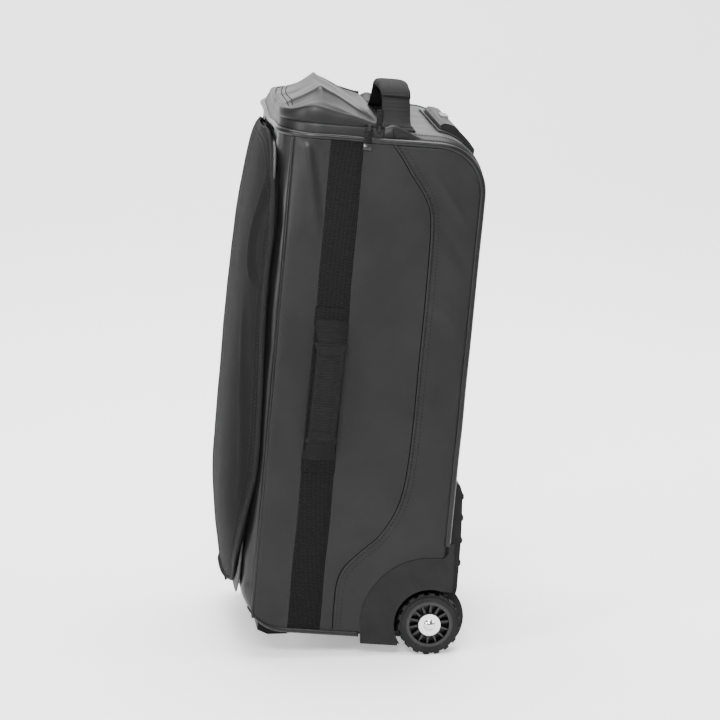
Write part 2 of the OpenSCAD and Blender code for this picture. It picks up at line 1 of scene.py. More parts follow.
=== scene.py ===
import sys
import bpy, bmesh, json, math
import numpy as np
from mathutils import Vector, Matrix
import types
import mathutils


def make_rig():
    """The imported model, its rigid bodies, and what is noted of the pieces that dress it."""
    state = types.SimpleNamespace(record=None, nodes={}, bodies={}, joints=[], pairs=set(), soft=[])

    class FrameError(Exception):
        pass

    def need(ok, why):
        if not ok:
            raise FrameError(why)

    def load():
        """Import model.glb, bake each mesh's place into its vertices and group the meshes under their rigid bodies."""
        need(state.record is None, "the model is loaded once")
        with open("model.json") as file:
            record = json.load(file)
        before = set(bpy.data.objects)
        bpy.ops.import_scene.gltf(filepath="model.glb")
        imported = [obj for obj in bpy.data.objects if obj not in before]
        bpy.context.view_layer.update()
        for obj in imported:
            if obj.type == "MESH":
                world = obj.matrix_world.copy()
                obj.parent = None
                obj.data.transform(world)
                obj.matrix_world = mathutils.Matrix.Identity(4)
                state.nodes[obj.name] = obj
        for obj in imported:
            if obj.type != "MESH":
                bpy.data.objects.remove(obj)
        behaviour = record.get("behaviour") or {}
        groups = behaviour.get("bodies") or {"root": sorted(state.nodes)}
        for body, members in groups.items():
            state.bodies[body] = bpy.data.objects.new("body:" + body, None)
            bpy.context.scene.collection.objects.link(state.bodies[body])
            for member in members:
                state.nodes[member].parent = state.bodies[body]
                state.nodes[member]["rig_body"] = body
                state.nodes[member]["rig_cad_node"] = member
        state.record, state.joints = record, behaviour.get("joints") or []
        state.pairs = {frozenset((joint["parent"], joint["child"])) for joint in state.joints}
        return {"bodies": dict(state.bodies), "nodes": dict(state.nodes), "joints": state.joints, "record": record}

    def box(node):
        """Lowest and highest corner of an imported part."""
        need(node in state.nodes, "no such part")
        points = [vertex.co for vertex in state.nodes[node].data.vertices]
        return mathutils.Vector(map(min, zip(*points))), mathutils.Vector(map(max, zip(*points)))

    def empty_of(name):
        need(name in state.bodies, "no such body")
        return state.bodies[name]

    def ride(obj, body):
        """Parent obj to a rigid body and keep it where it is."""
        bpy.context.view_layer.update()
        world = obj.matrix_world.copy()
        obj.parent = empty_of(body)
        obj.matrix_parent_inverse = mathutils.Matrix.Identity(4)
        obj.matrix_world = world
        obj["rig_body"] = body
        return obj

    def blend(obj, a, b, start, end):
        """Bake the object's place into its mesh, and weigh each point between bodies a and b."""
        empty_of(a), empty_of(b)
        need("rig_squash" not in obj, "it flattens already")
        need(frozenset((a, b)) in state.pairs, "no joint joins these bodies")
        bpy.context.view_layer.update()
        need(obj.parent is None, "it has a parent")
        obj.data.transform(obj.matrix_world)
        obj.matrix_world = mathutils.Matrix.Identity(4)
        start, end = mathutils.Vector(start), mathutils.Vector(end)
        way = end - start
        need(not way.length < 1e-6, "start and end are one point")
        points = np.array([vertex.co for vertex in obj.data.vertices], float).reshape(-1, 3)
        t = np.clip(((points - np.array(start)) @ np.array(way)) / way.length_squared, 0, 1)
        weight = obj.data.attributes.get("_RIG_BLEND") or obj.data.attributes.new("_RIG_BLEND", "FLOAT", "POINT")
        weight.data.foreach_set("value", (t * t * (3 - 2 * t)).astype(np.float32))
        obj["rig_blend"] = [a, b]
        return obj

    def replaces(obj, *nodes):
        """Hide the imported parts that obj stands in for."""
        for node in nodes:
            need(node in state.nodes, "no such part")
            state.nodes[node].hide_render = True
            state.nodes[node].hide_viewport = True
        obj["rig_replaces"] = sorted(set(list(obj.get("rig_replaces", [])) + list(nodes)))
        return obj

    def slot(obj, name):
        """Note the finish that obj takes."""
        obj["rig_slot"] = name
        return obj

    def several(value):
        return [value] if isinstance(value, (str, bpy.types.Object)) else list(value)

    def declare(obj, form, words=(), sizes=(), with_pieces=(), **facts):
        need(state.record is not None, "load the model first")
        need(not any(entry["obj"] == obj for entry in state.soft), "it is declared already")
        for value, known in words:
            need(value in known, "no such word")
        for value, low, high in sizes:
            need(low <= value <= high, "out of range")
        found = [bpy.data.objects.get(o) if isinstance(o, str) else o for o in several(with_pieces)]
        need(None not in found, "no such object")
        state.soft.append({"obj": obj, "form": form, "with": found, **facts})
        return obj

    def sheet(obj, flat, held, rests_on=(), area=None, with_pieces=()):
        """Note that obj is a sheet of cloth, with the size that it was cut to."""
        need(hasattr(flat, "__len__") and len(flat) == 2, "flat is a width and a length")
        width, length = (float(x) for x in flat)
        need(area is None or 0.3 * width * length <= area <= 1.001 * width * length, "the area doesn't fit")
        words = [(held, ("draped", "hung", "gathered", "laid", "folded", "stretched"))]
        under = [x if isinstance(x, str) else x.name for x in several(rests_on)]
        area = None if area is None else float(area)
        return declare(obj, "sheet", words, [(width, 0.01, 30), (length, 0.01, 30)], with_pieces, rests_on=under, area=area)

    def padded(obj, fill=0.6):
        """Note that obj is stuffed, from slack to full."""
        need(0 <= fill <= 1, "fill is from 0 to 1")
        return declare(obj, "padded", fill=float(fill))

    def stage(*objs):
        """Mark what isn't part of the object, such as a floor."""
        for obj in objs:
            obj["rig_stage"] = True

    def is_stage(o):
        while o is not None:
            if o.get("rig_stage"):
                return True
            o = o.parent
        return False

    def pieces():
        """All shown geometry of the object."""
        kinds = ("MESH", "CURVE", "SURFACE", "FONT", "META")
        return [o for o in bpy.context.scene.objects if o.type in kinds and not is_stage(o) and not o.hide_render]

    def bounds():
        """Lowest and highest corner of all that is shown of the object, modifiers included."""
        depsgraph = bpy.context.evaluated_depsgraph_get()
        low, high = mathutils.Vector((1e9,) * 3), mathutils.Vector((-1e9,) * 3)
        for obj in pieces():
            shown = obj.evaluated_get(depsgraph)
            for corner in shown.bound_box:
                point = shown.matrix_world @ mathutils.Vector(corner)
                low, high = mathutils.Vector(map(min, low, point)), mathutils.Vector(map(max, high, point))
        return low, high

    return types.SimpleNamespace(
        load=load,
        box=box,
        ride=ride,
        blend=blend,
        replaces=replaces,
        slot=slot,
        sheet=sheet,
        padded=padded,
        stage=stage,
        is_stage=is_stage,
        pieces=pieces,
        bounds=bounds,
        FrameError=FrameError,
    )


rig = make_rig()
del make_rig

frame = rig.load()
cad_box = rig.bounds()
pi = math.pi

# ------------------------------------------------------------------ frame
def jnt(name): return [j for j in frame["joints"] if j["name"] == name][0]
_up = np.array(jnt("trolley_lower_slide")["axis"], float); _up /= np.linalg.norm(_up)
_ax = [np.array(v, float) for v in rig.box("tyre_right")]
AX = (_ax[0] + _ax[1]) / 2; AX[0] = 0.0                 # wheel axis, on the middle plane
_bk = np.array([0.0, _up[2], -_up[1]])                   # the bag's back direction
def R(P):
    """bag coordinates in mm (x right, y back, z along the bag, from the wheel axis) to the row frame in metres"""
    P = np.asarray(P, float) / 1000.0
    return AX + P[..., :1] * np.array([1.0, 0, 0]) + P[..., 1:2] * _bk + P[..., 2:3] * _up
def Rp(x, y, z): return tuple(float(v) for v in R(np.array([[x, y, z]]))[0])
def inv(P):
    d = (np.asarray(P, float) - AX) * 1000.0
    return np.stack([d[..., 0], d @ _bk, d @ _up], -1)
def nbox(n):
    """a CAD node's box in bag coordinates, mm"""
    o = frame["nodes"][n]
    q = inv(np.array([v.co for v in o.data.vertices], float))
    return q.min(0), q.max(0)

HW = nbox("side_panel_right")[1][0]                      # half width, 150
FY = nbox("front_panel")[0][1]                           # front face, -229
BY = nbox("back_panel")[1][1]                            # back face, 12
BZ = nbox("bottom_panel")[0][2]                          # underside, -19
ZS = nbox("side_panel_right")[1][2]                      # top of the sides, 574

# ------------------------------------------------------------------ numbers
rng = np.random.RandomState(11)
_L = rng.rand(64, 64, 64)
def vn(x, y, z=0.0):
    """smooth value noise, -1..1"""
    x, y, z = np.broadcast_arrays(np.asarray(x, float), np.asarray(y, float), np.asarray(z, float))
    i = [np.floor(a).astype(int) for a in (x, y, z)]; f = [a - b for a, b in zip((x, y, z), i)]
    f = [t * t * (3 - 2 * t) for t in f]
    r = 0
    for a in (0, 1):
        for b in (0, 1):
            for c in (0, 1):
                w = (f[0] if a else 1 - f[0]) * (f[1] if b else 1 - f[1]) * (f[2] if c else 1 - f[2])
                r = r + w * _L[(i[0] + a) % 64, (i[1] + b) % 64, (i[2] + c) % 64]
    return 2 * r - 1
def fbm(x, y, z=0.0, o=3):
    r = 0; a = 1.0; s = 1.0
    for k in range(o):
        r = r + a * vn(x * s + 7.3 * k, y * s + 3.1 * k, np.asarray(z) * s + 1.7 * k); a *= 0.5; s *= 2.03
    return r
def sm(a, b, x):
    t = np.clip((np.asarray(x, float) - a) / (b - a), 0, 1); return t * t * (3 - 2 * t)
def ridge(x): return 1 - np.abs(x)
def cr(pts, n=8, closed=False):
    """Catmull-Rom through pts"""
    P = np.array(pts, float)
    if closed: P = np.vstack([P[-1], P, P[0], P[1]])
    else: P = np.vstack([2 * P[0] - P[1], P, 2 * P[-1] - P[-2]])
    out = []
    for k in range(1, len(P) - 2):
        p0, p1, p2, p3 = P[k - 1:k + 3]
        for t in np.linspace(0, 1, n, endpoint=False):
            out.append(0.5 * ((2 * p1) + (-p0 + p2) * t + (2 * p0 - 5 * p1 + 4 * p2 - p3) * t * t + (-p0 + 3 * p1 - 3 * p2 + p3) * t ** 3))
    if not closed: out.append(P[-2])
    return np.array(out)
def resample(P, step):
    P = np.asarray(P, float); d = np.r_[0, np.cumsum(np.linalg.norm(np.diff(P, axis=0), axis=1))]
    n = max(2, int(round(d[-1] / step)) + 1); s = np.linspace(0, d[-1], n)
    return np.stack([np.interp(s, d, P[:, k]) for k in range(P.shape[1])], 1)
def arc(cx, cy, r, a0, a1, n=12):
    a = np.radians(np.linspace(a0, a1, n + 1)); return np.stack([cx + r * np.cos(a), cy + r * np.sin(a)], 1)

# ------------------------------------------------------------------ meshes
def link(me, name, body, mat, slot=None, smooth=True):
    o = bpy.data.objects.new(name, me); bpy.context.scene.collection.objects.link(o)
    if smooth: me.polygons.foreach_set("use_smooth", [True] * len(me.polygons))
    for m in (mat if isinstance(mat, (list, tuple)) else [mat]): me.materials.append(m)
    if body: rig.ride(o, body)
    if slot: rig.slot(o, slot)
    return o
def mesh(name, verts, faces, body, mat, slot=None, smooth=True, uv=None, raw=False, midx=None):
    me = bpy.data.meshes.new(name)
    V = np.asarray(verts, float)
    me.from_pydata([tuple(v) for v in (V if raw else R(V))], [], [tuple(int(i) for i in f) for f in faces])
    if uv is not None:
        l = me.uv_layers.new(name="UVMap"); U = np.asarray(uv, float)
        vi = np.zeros(len(me.loops), int); me.loops.foreach_get("vertex_index", vi)
        l.data.foreach_set("uv", U[vi].ravel().astype(np.float32))
    if midx is not None: me.polygons.foreach_set("material_index", np.asarray(midx, int))
    me.validate(); me.update()
    o = link(me, name, body, mat, slot, smooth)
    return o
def grid(name, P, body, mat, slot=None, cu=False, cv=False, uv=None, flip=False, keep=None, thick=None, off=0.0, bevel=None):
    """quads from an n x m array of points (bag mm); thick in mm makes a closed sheet"""
    P = np.asarray(P, float); n, m = P.shape[:2]
    I = np.arange(n * m).reshape(n, m); F = []
    for i in range(n if cu else n - 1):
        for j in range(m if cv else m - 1):
            if keep is not None and not keep[i % keep.shape[0], j % keep.shape[1]]: continue
            a, b, c, d = I[i, j], I[(i + 1) % n, j], I[(i + 1) % n, (j + 1) % m], I[i, (j + 1) % m]
            F.append((a, d, c, b) if flip else (a, b, c, d))
    o = mesh(name, P.reshape(-1, 3), F, body, mat, slot, uv=None if uv is None else np.asarray(uv).reshape(-1, 2))
    bm = bmesh.new(); bm.from_mesh(o.data)
    bmesh.ops.delete(bm, geom=[v for v in bm.verts if not v.link_faces], context="VERTS")
    bmesh.ops.remove_doubles(bm, verts=bm.verts, dist=2e-5)
    bm.to_mesh(o.data); bm.free()
    if thick:
        md = o.modifiers.new("thick", "SOLIDIFY"); md.thickness = thick / 1000.0; md.offset = off; md.use_even_offset = False
        apply(o)
    return o
def apply(o):
    """puts every modifier into the mesh"""
    bpy.context.view_layer.update()
    dg = bpy.context.evaluated_depsgraph_get()
    me = bpy.data.meshes.new_from_object(o.evaluated_get(dg), preserve_all_data_layers=True, depsgraph=dg)
    old = o.data; o.modifiers.clear(); o.data = me; bpy.data.meshes.remove(old)
    return o
def subsurf(o, n=1):
    md = o.modifiers.new("s", "SUBSURF"); md.levels = n; md.render_levels = n; apply(o); return o
def bevelled(o, w, seg=2, angle=35):
    md = o.modifiers.new("b", "BEVEL"); md.width = w / 1000.0; md.segments = seg; md.limit_method = "ANGLE"; md.angle_limit = math.radians(angle); md.harden_normals = False
    apply(o); return o
def frames(P, hint):
    P = np.asarray(P, float); T = np.gradient(P, axis=0); T /= np.linalg.norm(T, axis=1)[:, None] + 1e-12
    H = np.broadcast_to(np.asarray(hint, float), P.shape)
    N = H - (H * T).sum(1)[:, None] * T; N /= np.linalg.norm(N, axis=1)[:, None] + 1e-12
    return T, N, np.cross(T, N)
def sweep(name, P, prof, hint, body, mat, slot=None, closed=False, caps=True, scale=None, uvs=True):
    """sweeps a closed 2-D profile (n, b) along P; prof may be one profile or one for each point"""
    P = np.asarray(P, float); T, N, Bn = frames(P, hint); prof = np.asarray(prof, float)
    if prof.ndim == 2: prof = np.broadcast_to(prof, (len(P),) + prof.shape)
    if scale is not None: prof = prof * np.asarray(scale)[:, None, None]
    V = P[:, None, :] + prof[..., :1] * N[:, None, :] + prof[..., 1:] * Bn[:, None, :]
    n, m = V.shape[:2]; I = np.arange(n * m).reshape(n, m); F = []
    for i in range(n if closed else n - 1):
        for j in range(m): F.append((I[i, j], I[(i + 1) % n, j], I[(i + 1) % n, (j + 1) % m], I[i, (j + 1) % m]))
    if caps and not closed: F.append(tuple(I[0])); F.append(tuple(I[-1][::-1]))
    s = np.r_[0, np.cumsum(np.linalg.norm(np.diff(P, axis=0), axis=1))]
    q = np.r_[0, np.cumsum(np.linalg.norm(np.diff(prof[0], axis=0), axis=1))]
    uv = np.stack(np.broadcast_arrays(s[:, None], q[None, :]), -1).reshape(-1, 2) if uvs else None
    o = mesh(name, V.reshape(-1, 3), F, body, mat, slot, uv=uv)
    bm = bmesh.new(); bm.from_mesh(o.data); bmesh.ops.recalc_face_normals(bm, faces=bm.faces); bm.to_mesh(o.data); bm.free()
    return o
def circ(r, n=10, sx=1.0, sy=1.0): a = np.linspace(0, 2 * pi, n, endpoint=False); return np.stack([r * sx * np.cos(a), r * sy * np.sin(a)], 1)
def rrect(w, h, r, n=3):
    P = []
    for cx, cy, a0 in ((w / 2 - r, h / 2 - r, 0), (-w / 2 + r, h / 2 - r, 90), (-w / 2 + r, -h / 2 + r, 180), (w / 2 - r, -h / 2 + r, 270)):
        P.append(arc(cx, cy, r, a0, a0 + 90, n))
    return np.vstack(P)
def join(name, objs, body, slot=None):
    objs = [o for o in objs if o]
    bm = bmesh.new(); mats = []
    for o in objs:
        base = len(mats); mm = list(o.data.materials)
        me = o.data.copy(); me.transform(o.matrix_world)
        idx = {}
        for k, m in enumerate(mm):
            if m not in mats: mats.append(m)
            idx[k] = mats.index(m)
        a = np.zeros(len(me.polygons), int); me.polygons.foreach_get("material_index", a)
        me.polygons.foreach_set("material_index", np.array([idx.get(int(k), 0) for k in a], int))
        bm.from_mesh(me); bpy.data.meshes.remove(me)
    me = bpy.data.meshes.new(name); bm.to_mesh(me); bm.free()
    for o in objs: bpy.data.objects.remove(o)
    o = bpy.data.objects.new(name, me); bpy.context.scene.collection.objects.link(o)
    for m in mats: me.materials.append(m)
    if body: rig.ride(o, body)
    if slot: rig.slot(o, slot)
    return o
def stitches(name, paths, normals, body, mat, slot=None, length=3.3, gap=1.3, r=0.48, lift=0.15):
    """rows of thread: one small capsule for each stitch. paths in bag mm, normals one vector or one for each point"""
    V = []; F = []
    for P, Nn in zip(paths, normals):
        P = np.asarray(P, float); Nn = np.broadcast_to(np.asarray(Nn, float), P.shape)
        d = np.r_[0, np.cumsum(np.linalg.norm(np.diff(P, axis=0), axis=1))]
        k = int(d[-1] // (length + gap))
        for i in range(k):
            s = (i + 0.15) * (length + gap) + np.array([0, 0.18, 0.5, 0.82, 1.0]) * length
            q = np.stack([np.interp(s, d, P[:, c]) for c in range(3)], 1)
            nn = np.array([np.interp(s[2], d, Nn[:, c]) for c in range(3)]); nn /= np.linalg.norm(nn)
            t = q[-1] - q[0]; t /= np.linalg.norm(t); b = np.cross(t, nn)
            base = len(V)
            V.append(q[0] - nn * 0.2)
            for a, (w, h) in zip((1, 2, 3), ((0.85, 0.7), (1, 1), (0.85, 0.7))):
                for ang in (0, 60, 120, 180, 240, 300):
                    c, s_ = math.cos(math.radians(ang)), math.sin(math.radians(ang))
                    V.append(q[a] + nn * (lift * h + r * h * s_) + b * r * w * c)
            V.append(q[4] - nn * 0.2)
            for j in range(6):
                F.append((base, base + 1 + (j + 1) % 6, base + 1 + j))
                for g in (0, 1):
                    u0 = base + 1 + 6 * g
                    F.append((u0 + j, u0 + (j + 1) % 6, u0 + 6 + (j + 1) % 6, u0 + 6 + j))
                F.append((base + 19, base + 13 + j, base + 13 + (j + 1) % 6))
    return mesh(name, np.array(V), F, body, mat, slot)
def drop_nodes(o, *n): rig.replaces(o, *n); return o

# ------------------------------------------------------------------ materials
def lin(c): c = c / 255.0; return c / 12.92 if c <= 0.04045 else ((c + 0.055) / 1.055) ** 2.4
def grey(v, tint=(1, 1, 1)): return (lin(v) * tint[0], lin(v) * tint[1], lin(v) * tint[2], 1)
class M:
    def __init__(self, name):
        self.m = bpy.data.materials.new(name); self.m.use_nodes = True; self.t = self.m.node_tree; self.n = self.t.nodes
        self.p = self.n["Principled BSDF"]; self.tc = self.n.new("ShaderNodeTexCoord")
    def new(self, kind, **kw):
        x = self.n.new(kind)
        for k, v in kw.items():
            if k in x.inputs.keys() if hasattr(x, "inputs") else False: x.inputs[k].default_value = v
            else: setattr(x, k, v)
        return x
    def l(self, a, b): self.t.links.new(a, b)
    def noise(self, scale, detail=3, rough=0.55, vec=None, stretch=None):
        x = self.n.new("ShaderNodeTexNoise"); x.inputs["Scale"].default_value = scale; x.inputs["Detail"].default_value = detail; x.inputs["Roughness"].default_value = rough
        v = vec or self.tc.outputs["Object"]
        if stretch:
            mp = self.n.new("ShaderNodeMapping"); mp.inputs["Scale"].default_value = stretch; self.l(v, mp.inputs["Vector"]); v = mp.outputs["Vector"]
        self.l(v, x.inputs["Vector"]); return x.outputs["Fac"]
    def ramp(self, fac, stops):
        x = self.n.new("ShaderNodeValToRGB"); e = x.color_ramp.elements
        while len(e) < len(stops): e.new(0.5)
        for k, (p, c) in enumerate(stops): e[k].position = p; e[k].color = c if len(c) == 4 else (*c, 1)
        self.l(fac, x.inputs["Fac"]); return x.outputs["Color"]
    def rng(self, fac, a, b, lo=0.0, hi=1.0):
        x = self.n.new("ShaderNodeMapRange"); x.inputs["From Min"].default_value = lo; x.inputs["From Max"].default_value = hi
        x.inputs["To Min"].default_value = a; x.inputs["To Max"].default_value = b; self.l(fac, x.inputs["Value"]); return x.outputs["Result"]
    def math(self, op, a, b=None, c=None):
        x = self.n.new("ShaderNodeMath"); x.operation = op
        for k, v in enumerate((a, b, c)):
            if v is None: continue
            if isinstance(v, (int, float)): x.inputs[k].default_value = v
            else: self.l(v, x.inputs[k])
        return x.outputs[0]
    def bump(self, h, strength, dist, prev=None):
        x = self.n.new("ShaderNodeBump"); x.inputs["Strength"].default_value = strength; x.inputs["Distance"].default_value = dist
        self.l(h, x.inputs["Height"])
        if prev is not None: self.l(prev, x.inputs["Normal"])
        self.l(x.outputs["Normal"], self.p.inputs["Normal"]); return x.outputs["Normal"]
    def set(self, **kw):
        for k, v in kw.items(): self.p.inputs[k.replace("_", " ")].default_value = v
        return self
    def color(self, c): self.l(c, self.p.inputs["Base Color"]); return self
    def rough(self, r): self.l(r, self.p.inputs["Roughness"]); return self

def tarp_mat(name, v0, v1, r0, r1, grain=0.35, spec=0.35):
    m = M(name)
    m.color(m.ramp(m.noise(14, 4, 0.6), [(0.3, grey(v0)), (0.7, grey(v1))]))
    m.rough(m.rng(m.noise(30, 3, 0.6), r0, r1, 0.3, 0.7))
    n1 = m.bump(m.noise(900, 2, 0.5), grain, 0.00012)
    n2 = m.bump(m.noise(140, 3, 0.55), 0.25, 0.0003, n1)
    m.set(Specular_IOR_Level=spec)
    return m
T = tarp_mat("tarpaulin_satin", 19, 25, 0.40, 0.48, 0.35, 0.20)
T_gloss = tarp_mat("tarpaulin_gloss", 17, 22, 0.28, 0.37, 0.25, 0.3)
# a darker copy of the satin tarpaulin for the top's parts: painted shade that tones down the light falling on the top
T_lid = tarp_mat("tarpaulin_lid", 16, 21, 0.40, 0.48, 0.3, 0.2)

def weave_mat(name, v0, v1, period, rough=0.85, strength=0.6, sheen=0.25):
    m = M(name); tc = m.tc.outputs["Object"]
    s = m.n.new("ShaderNodeSeparateXYZ"); m.l(tc, s.inputs[0])
    k = 2 * pi / (period / 1000.0)
    a = m.math("SINE", m.math("MULTIPLY", m.math("ADD", s.outputs["X"], s.outputs["Y"]), k))
    b = m.math("SINE", m.math("MULTIPLY", s.outputs["Z"], k))
    w = m.math("MULTIPLY", a, b)
    f = m.noise(260, 4, 0.65)
    m.color(m.ramp(m.math("ADD", m.math("MULTIPLY", w, 0.12), f), [(0.25, grey(v0)), (0.75, grey(v1))]))
    m.rough(m.rng(f, rough - 0.06, rough + 0.06, 0.3, 0.7))
    n1 = m.bump(w, strength, 0.00018)
    m.bump(m.noise(700, 3, 0.7), 0.5, 0.0002, n1)
    m.set(Sheen_Weight=sheen, Sheen_Roughness=0.5, Specular_IOR_Level=0.1)
    return m
POLY = weave_mat("polyester_matte", 14, 20, 0.9, 0.86, 0.6, 0.0)
# a darker copy of the polyester for the gussets: painted shade in the gap between the cover and the body
POLY_D = weave_mat("polyester_dark", 9, 14, 0.9, 0.9, 0.6, 0.0)

def web_mat(name, v0, v1, period=2.4, tilt=0.16):
    """ribbed webbing: ribs across the strap, from the mesh's own lengthwise coordinate (mm)"""
    m = M(name); s = m.n.new("ShaderNodeSeparateXYZ"); m.l(m.tc.outputs["UV"], s.inputs[0])
    u = m.math("ADD", s.outputs["X"], m.math("MULTIPLY", s.outputs["Y"], tilt))
    r = m.math("SINE", m.math("MULTIPLY", u, 2 * pi / period))
    c = m.math("SINE", m.math("MULTIPLY", s.outputs["Y"], 2 * pi / 1.3))
    h = m.math("ADD", r, m.math("MULTIPLY", c, 0.22))
    n = m.noise(420, 3, 0.6)
    m.color(m.ramp(m.math("ADD", m.math("MULTIPLY", h, 0.16), n), [(0.25, grey(v0)), (0.75, grey(v1))]))
    m.rough(m.rng(n, 0.62, 0.8, 0.3, 0.7))
    n1 = m.bump(h, 0.8, 0.00035)
    m.bump(m.noise(1300, 2, 0.6), 0.4, 0.0001, n1)
    m.set(Sheen_Weight=0.0, Specular_IOR_Level=0.1)
    return m
WEB = web_mat("webbing_ribbed", 5, 16)
# a lighter copy of the webbing, with a finer rib, for the handles and pulls that stand off the bag: painted light on
# the raised parts
WEB2 = web_mat("webbing_handle", 12, 25, 1.9, 0.1)

def plain(name, v, rough, grain=0.2, gs=900, gd=0.0001, spec=0.5, metal=0.0, dv=4, coat=0.0):
    m = M(name)
    m.color(m.ramp(m.noise(40, 4, 0.6), [(0.3, grey(max(0, v - dv))), (0.7, grey(v + dv))]))
    m.rough(m.rng(m.noise(60, 3, 0.6), rough - 0.04, rough + 0.05, 0.3, 0.7))
    m.bump(m.noise(gs, 2, 0.5), grain, gd)
    m.set(Specular_IOR_Level=spec, Metallic=metal)
    if coat: m.set(Coat_Weight=coat, Coat_Roughness=0.12)
    return m
PIPE = plain("welt_gloss", 10, 0.34, 0.1, 400, 0.0001, 0.3, dv=2)
# near-black material for the dark line along the overlay's front edge: painted shadow of the seam groove
EDGE = plain("edge_binding", 5, 0.7, 0.1, 400, 0.0001, 0.05, dv=1)
THREAD = plain("thread", 18, 0.6, 0.4, 1500, 0.0001, 0.25)
THREAD_D = plain("thread_dark", 5, 0.6, 0.4, 1500, 0.0001, 0.15)
PLAS = plain("plastic_moulded", 14, 0.5, 0.5, 1100, 0.00014, 0.2)
PLAS_G = plain("plastic_satin", 22, 0.3, 0.15, 700, 0.0001, 0.4)
RIMM = plain("plastic_rim", 17, 0.36, 0.2, 700, 0.0001, 0.4)
TYRE = plain("rubber_tyre", 18, 0.66, 0.5, 500, 0.0002, 0.2)
CHROME = plain("steel_bright", 215, 0.13, 0.05, 300, metal=1.0)
STEEL = plain("steel_plated", 150, 0.34, 0.2, 800, metal=1.0)
ALU = plain("aluminium_satin", 175, 0.32, 0.15, 900, metal=1.0)
FOAM = weave_mat("foam_cover", 62, 78, 1.4, 0.9, 0.5, 0.3)
BOARD = plain("board_matte", 40, 0.6, 0.3, 500)
ZIPT = web_mat("zip_tape", 16, 28, 1.5, 0.0)
ZIPC = plain("zip_coil", 22, 0.34, 0.1, 900)
ZMET = plain("zip_slider_black", 26, 0.3, 0.1, 600, metal=0.3)
BTN = plain("button_grey", 92, 0.42, 0.2, 900)
LINER = weave_mat("lining", 44, 54, 0.8, 0.8, 0.5, 0.1)

NODE_MAT = {"board": BOARD, "moulded_plastic": PLAS, "rim_plastic": RIMM, "tyre_rubber": TYRE, "aluminium_tube": ALU, "button_plastic": BTN,
            "steel": STEEL, "bright_steel": CHROME, "foam": FOAM, "zip_metal": ZMET, "zip_tape": ZIPT, "webbing": WEB, "piping": PIPE, "tarpaulin": T, "polyester": POLY}
for sp in frame["record"]["subparts"]:
    o = frame["nodes"].get(sp["node"])
    if o is None: continue
    o.data.materials.clear(); o.data.materials.append(NODE_MAT[sp["material_slot"]].m)
# plain shader objects from here on
for k, v in list(globals().items()):
    if isinstance(v, M): globals()[k] = v.m

# ------------------------------------------------------------------ the side surface
SEAM_Y = FY + 16.0                                        # seam between the front corner and the side
seam = cr([(-99, 577), (-86, 561), (-72, 541), (-55, 518), (-46.5, 500), (-43.5, 478), (-42.5, 440), (-42, 380), (-42.3, 314), (-42, 257), (-43, 205), (-46, 165), (-54, 134), (-70, 105), (-92, 83), (-109, 63), (-115.5, 42), (-116, 10), (-115, -19)], 10)
def seam_y(z):
    o = np.argsort(seam[:, 1]); return np.interp(z, seam[o, 1], seam[o, 0])
FR = 55.0; TRR = 55.0
def y_front(z):
    """front end of the side panel at height z"""
    z = np.asarray(z, float); a = FY + FR - np.sqrt(np.maximum((FR - 2) ** 2 - np.clip(BZ + FR - z, 0, FR - 2.01) ** 2, 0))
    return np.maximum(SEAM_Y, a)
def y_back(z):
    z = np.asarray(z, float); zc = ZS - 52
    return np.where(z > zc, BY - TRR + np.sqrt(np.maximum(54.0 ** 2 - np.clip(z - zc, 0, 53.9) ** 2, 0)), BY - 1)
def crz(z): return 24 + 18 * sm(400, 560, z)
def corner(y, z):
    """how far the side turns in towards the rounded front corner"""
    c = crz(z); d = np.clip(FY + c - np.asarray(y, float), 0, c * 0.93); return c - np.sqrt(c ** 2 - d ** 2)
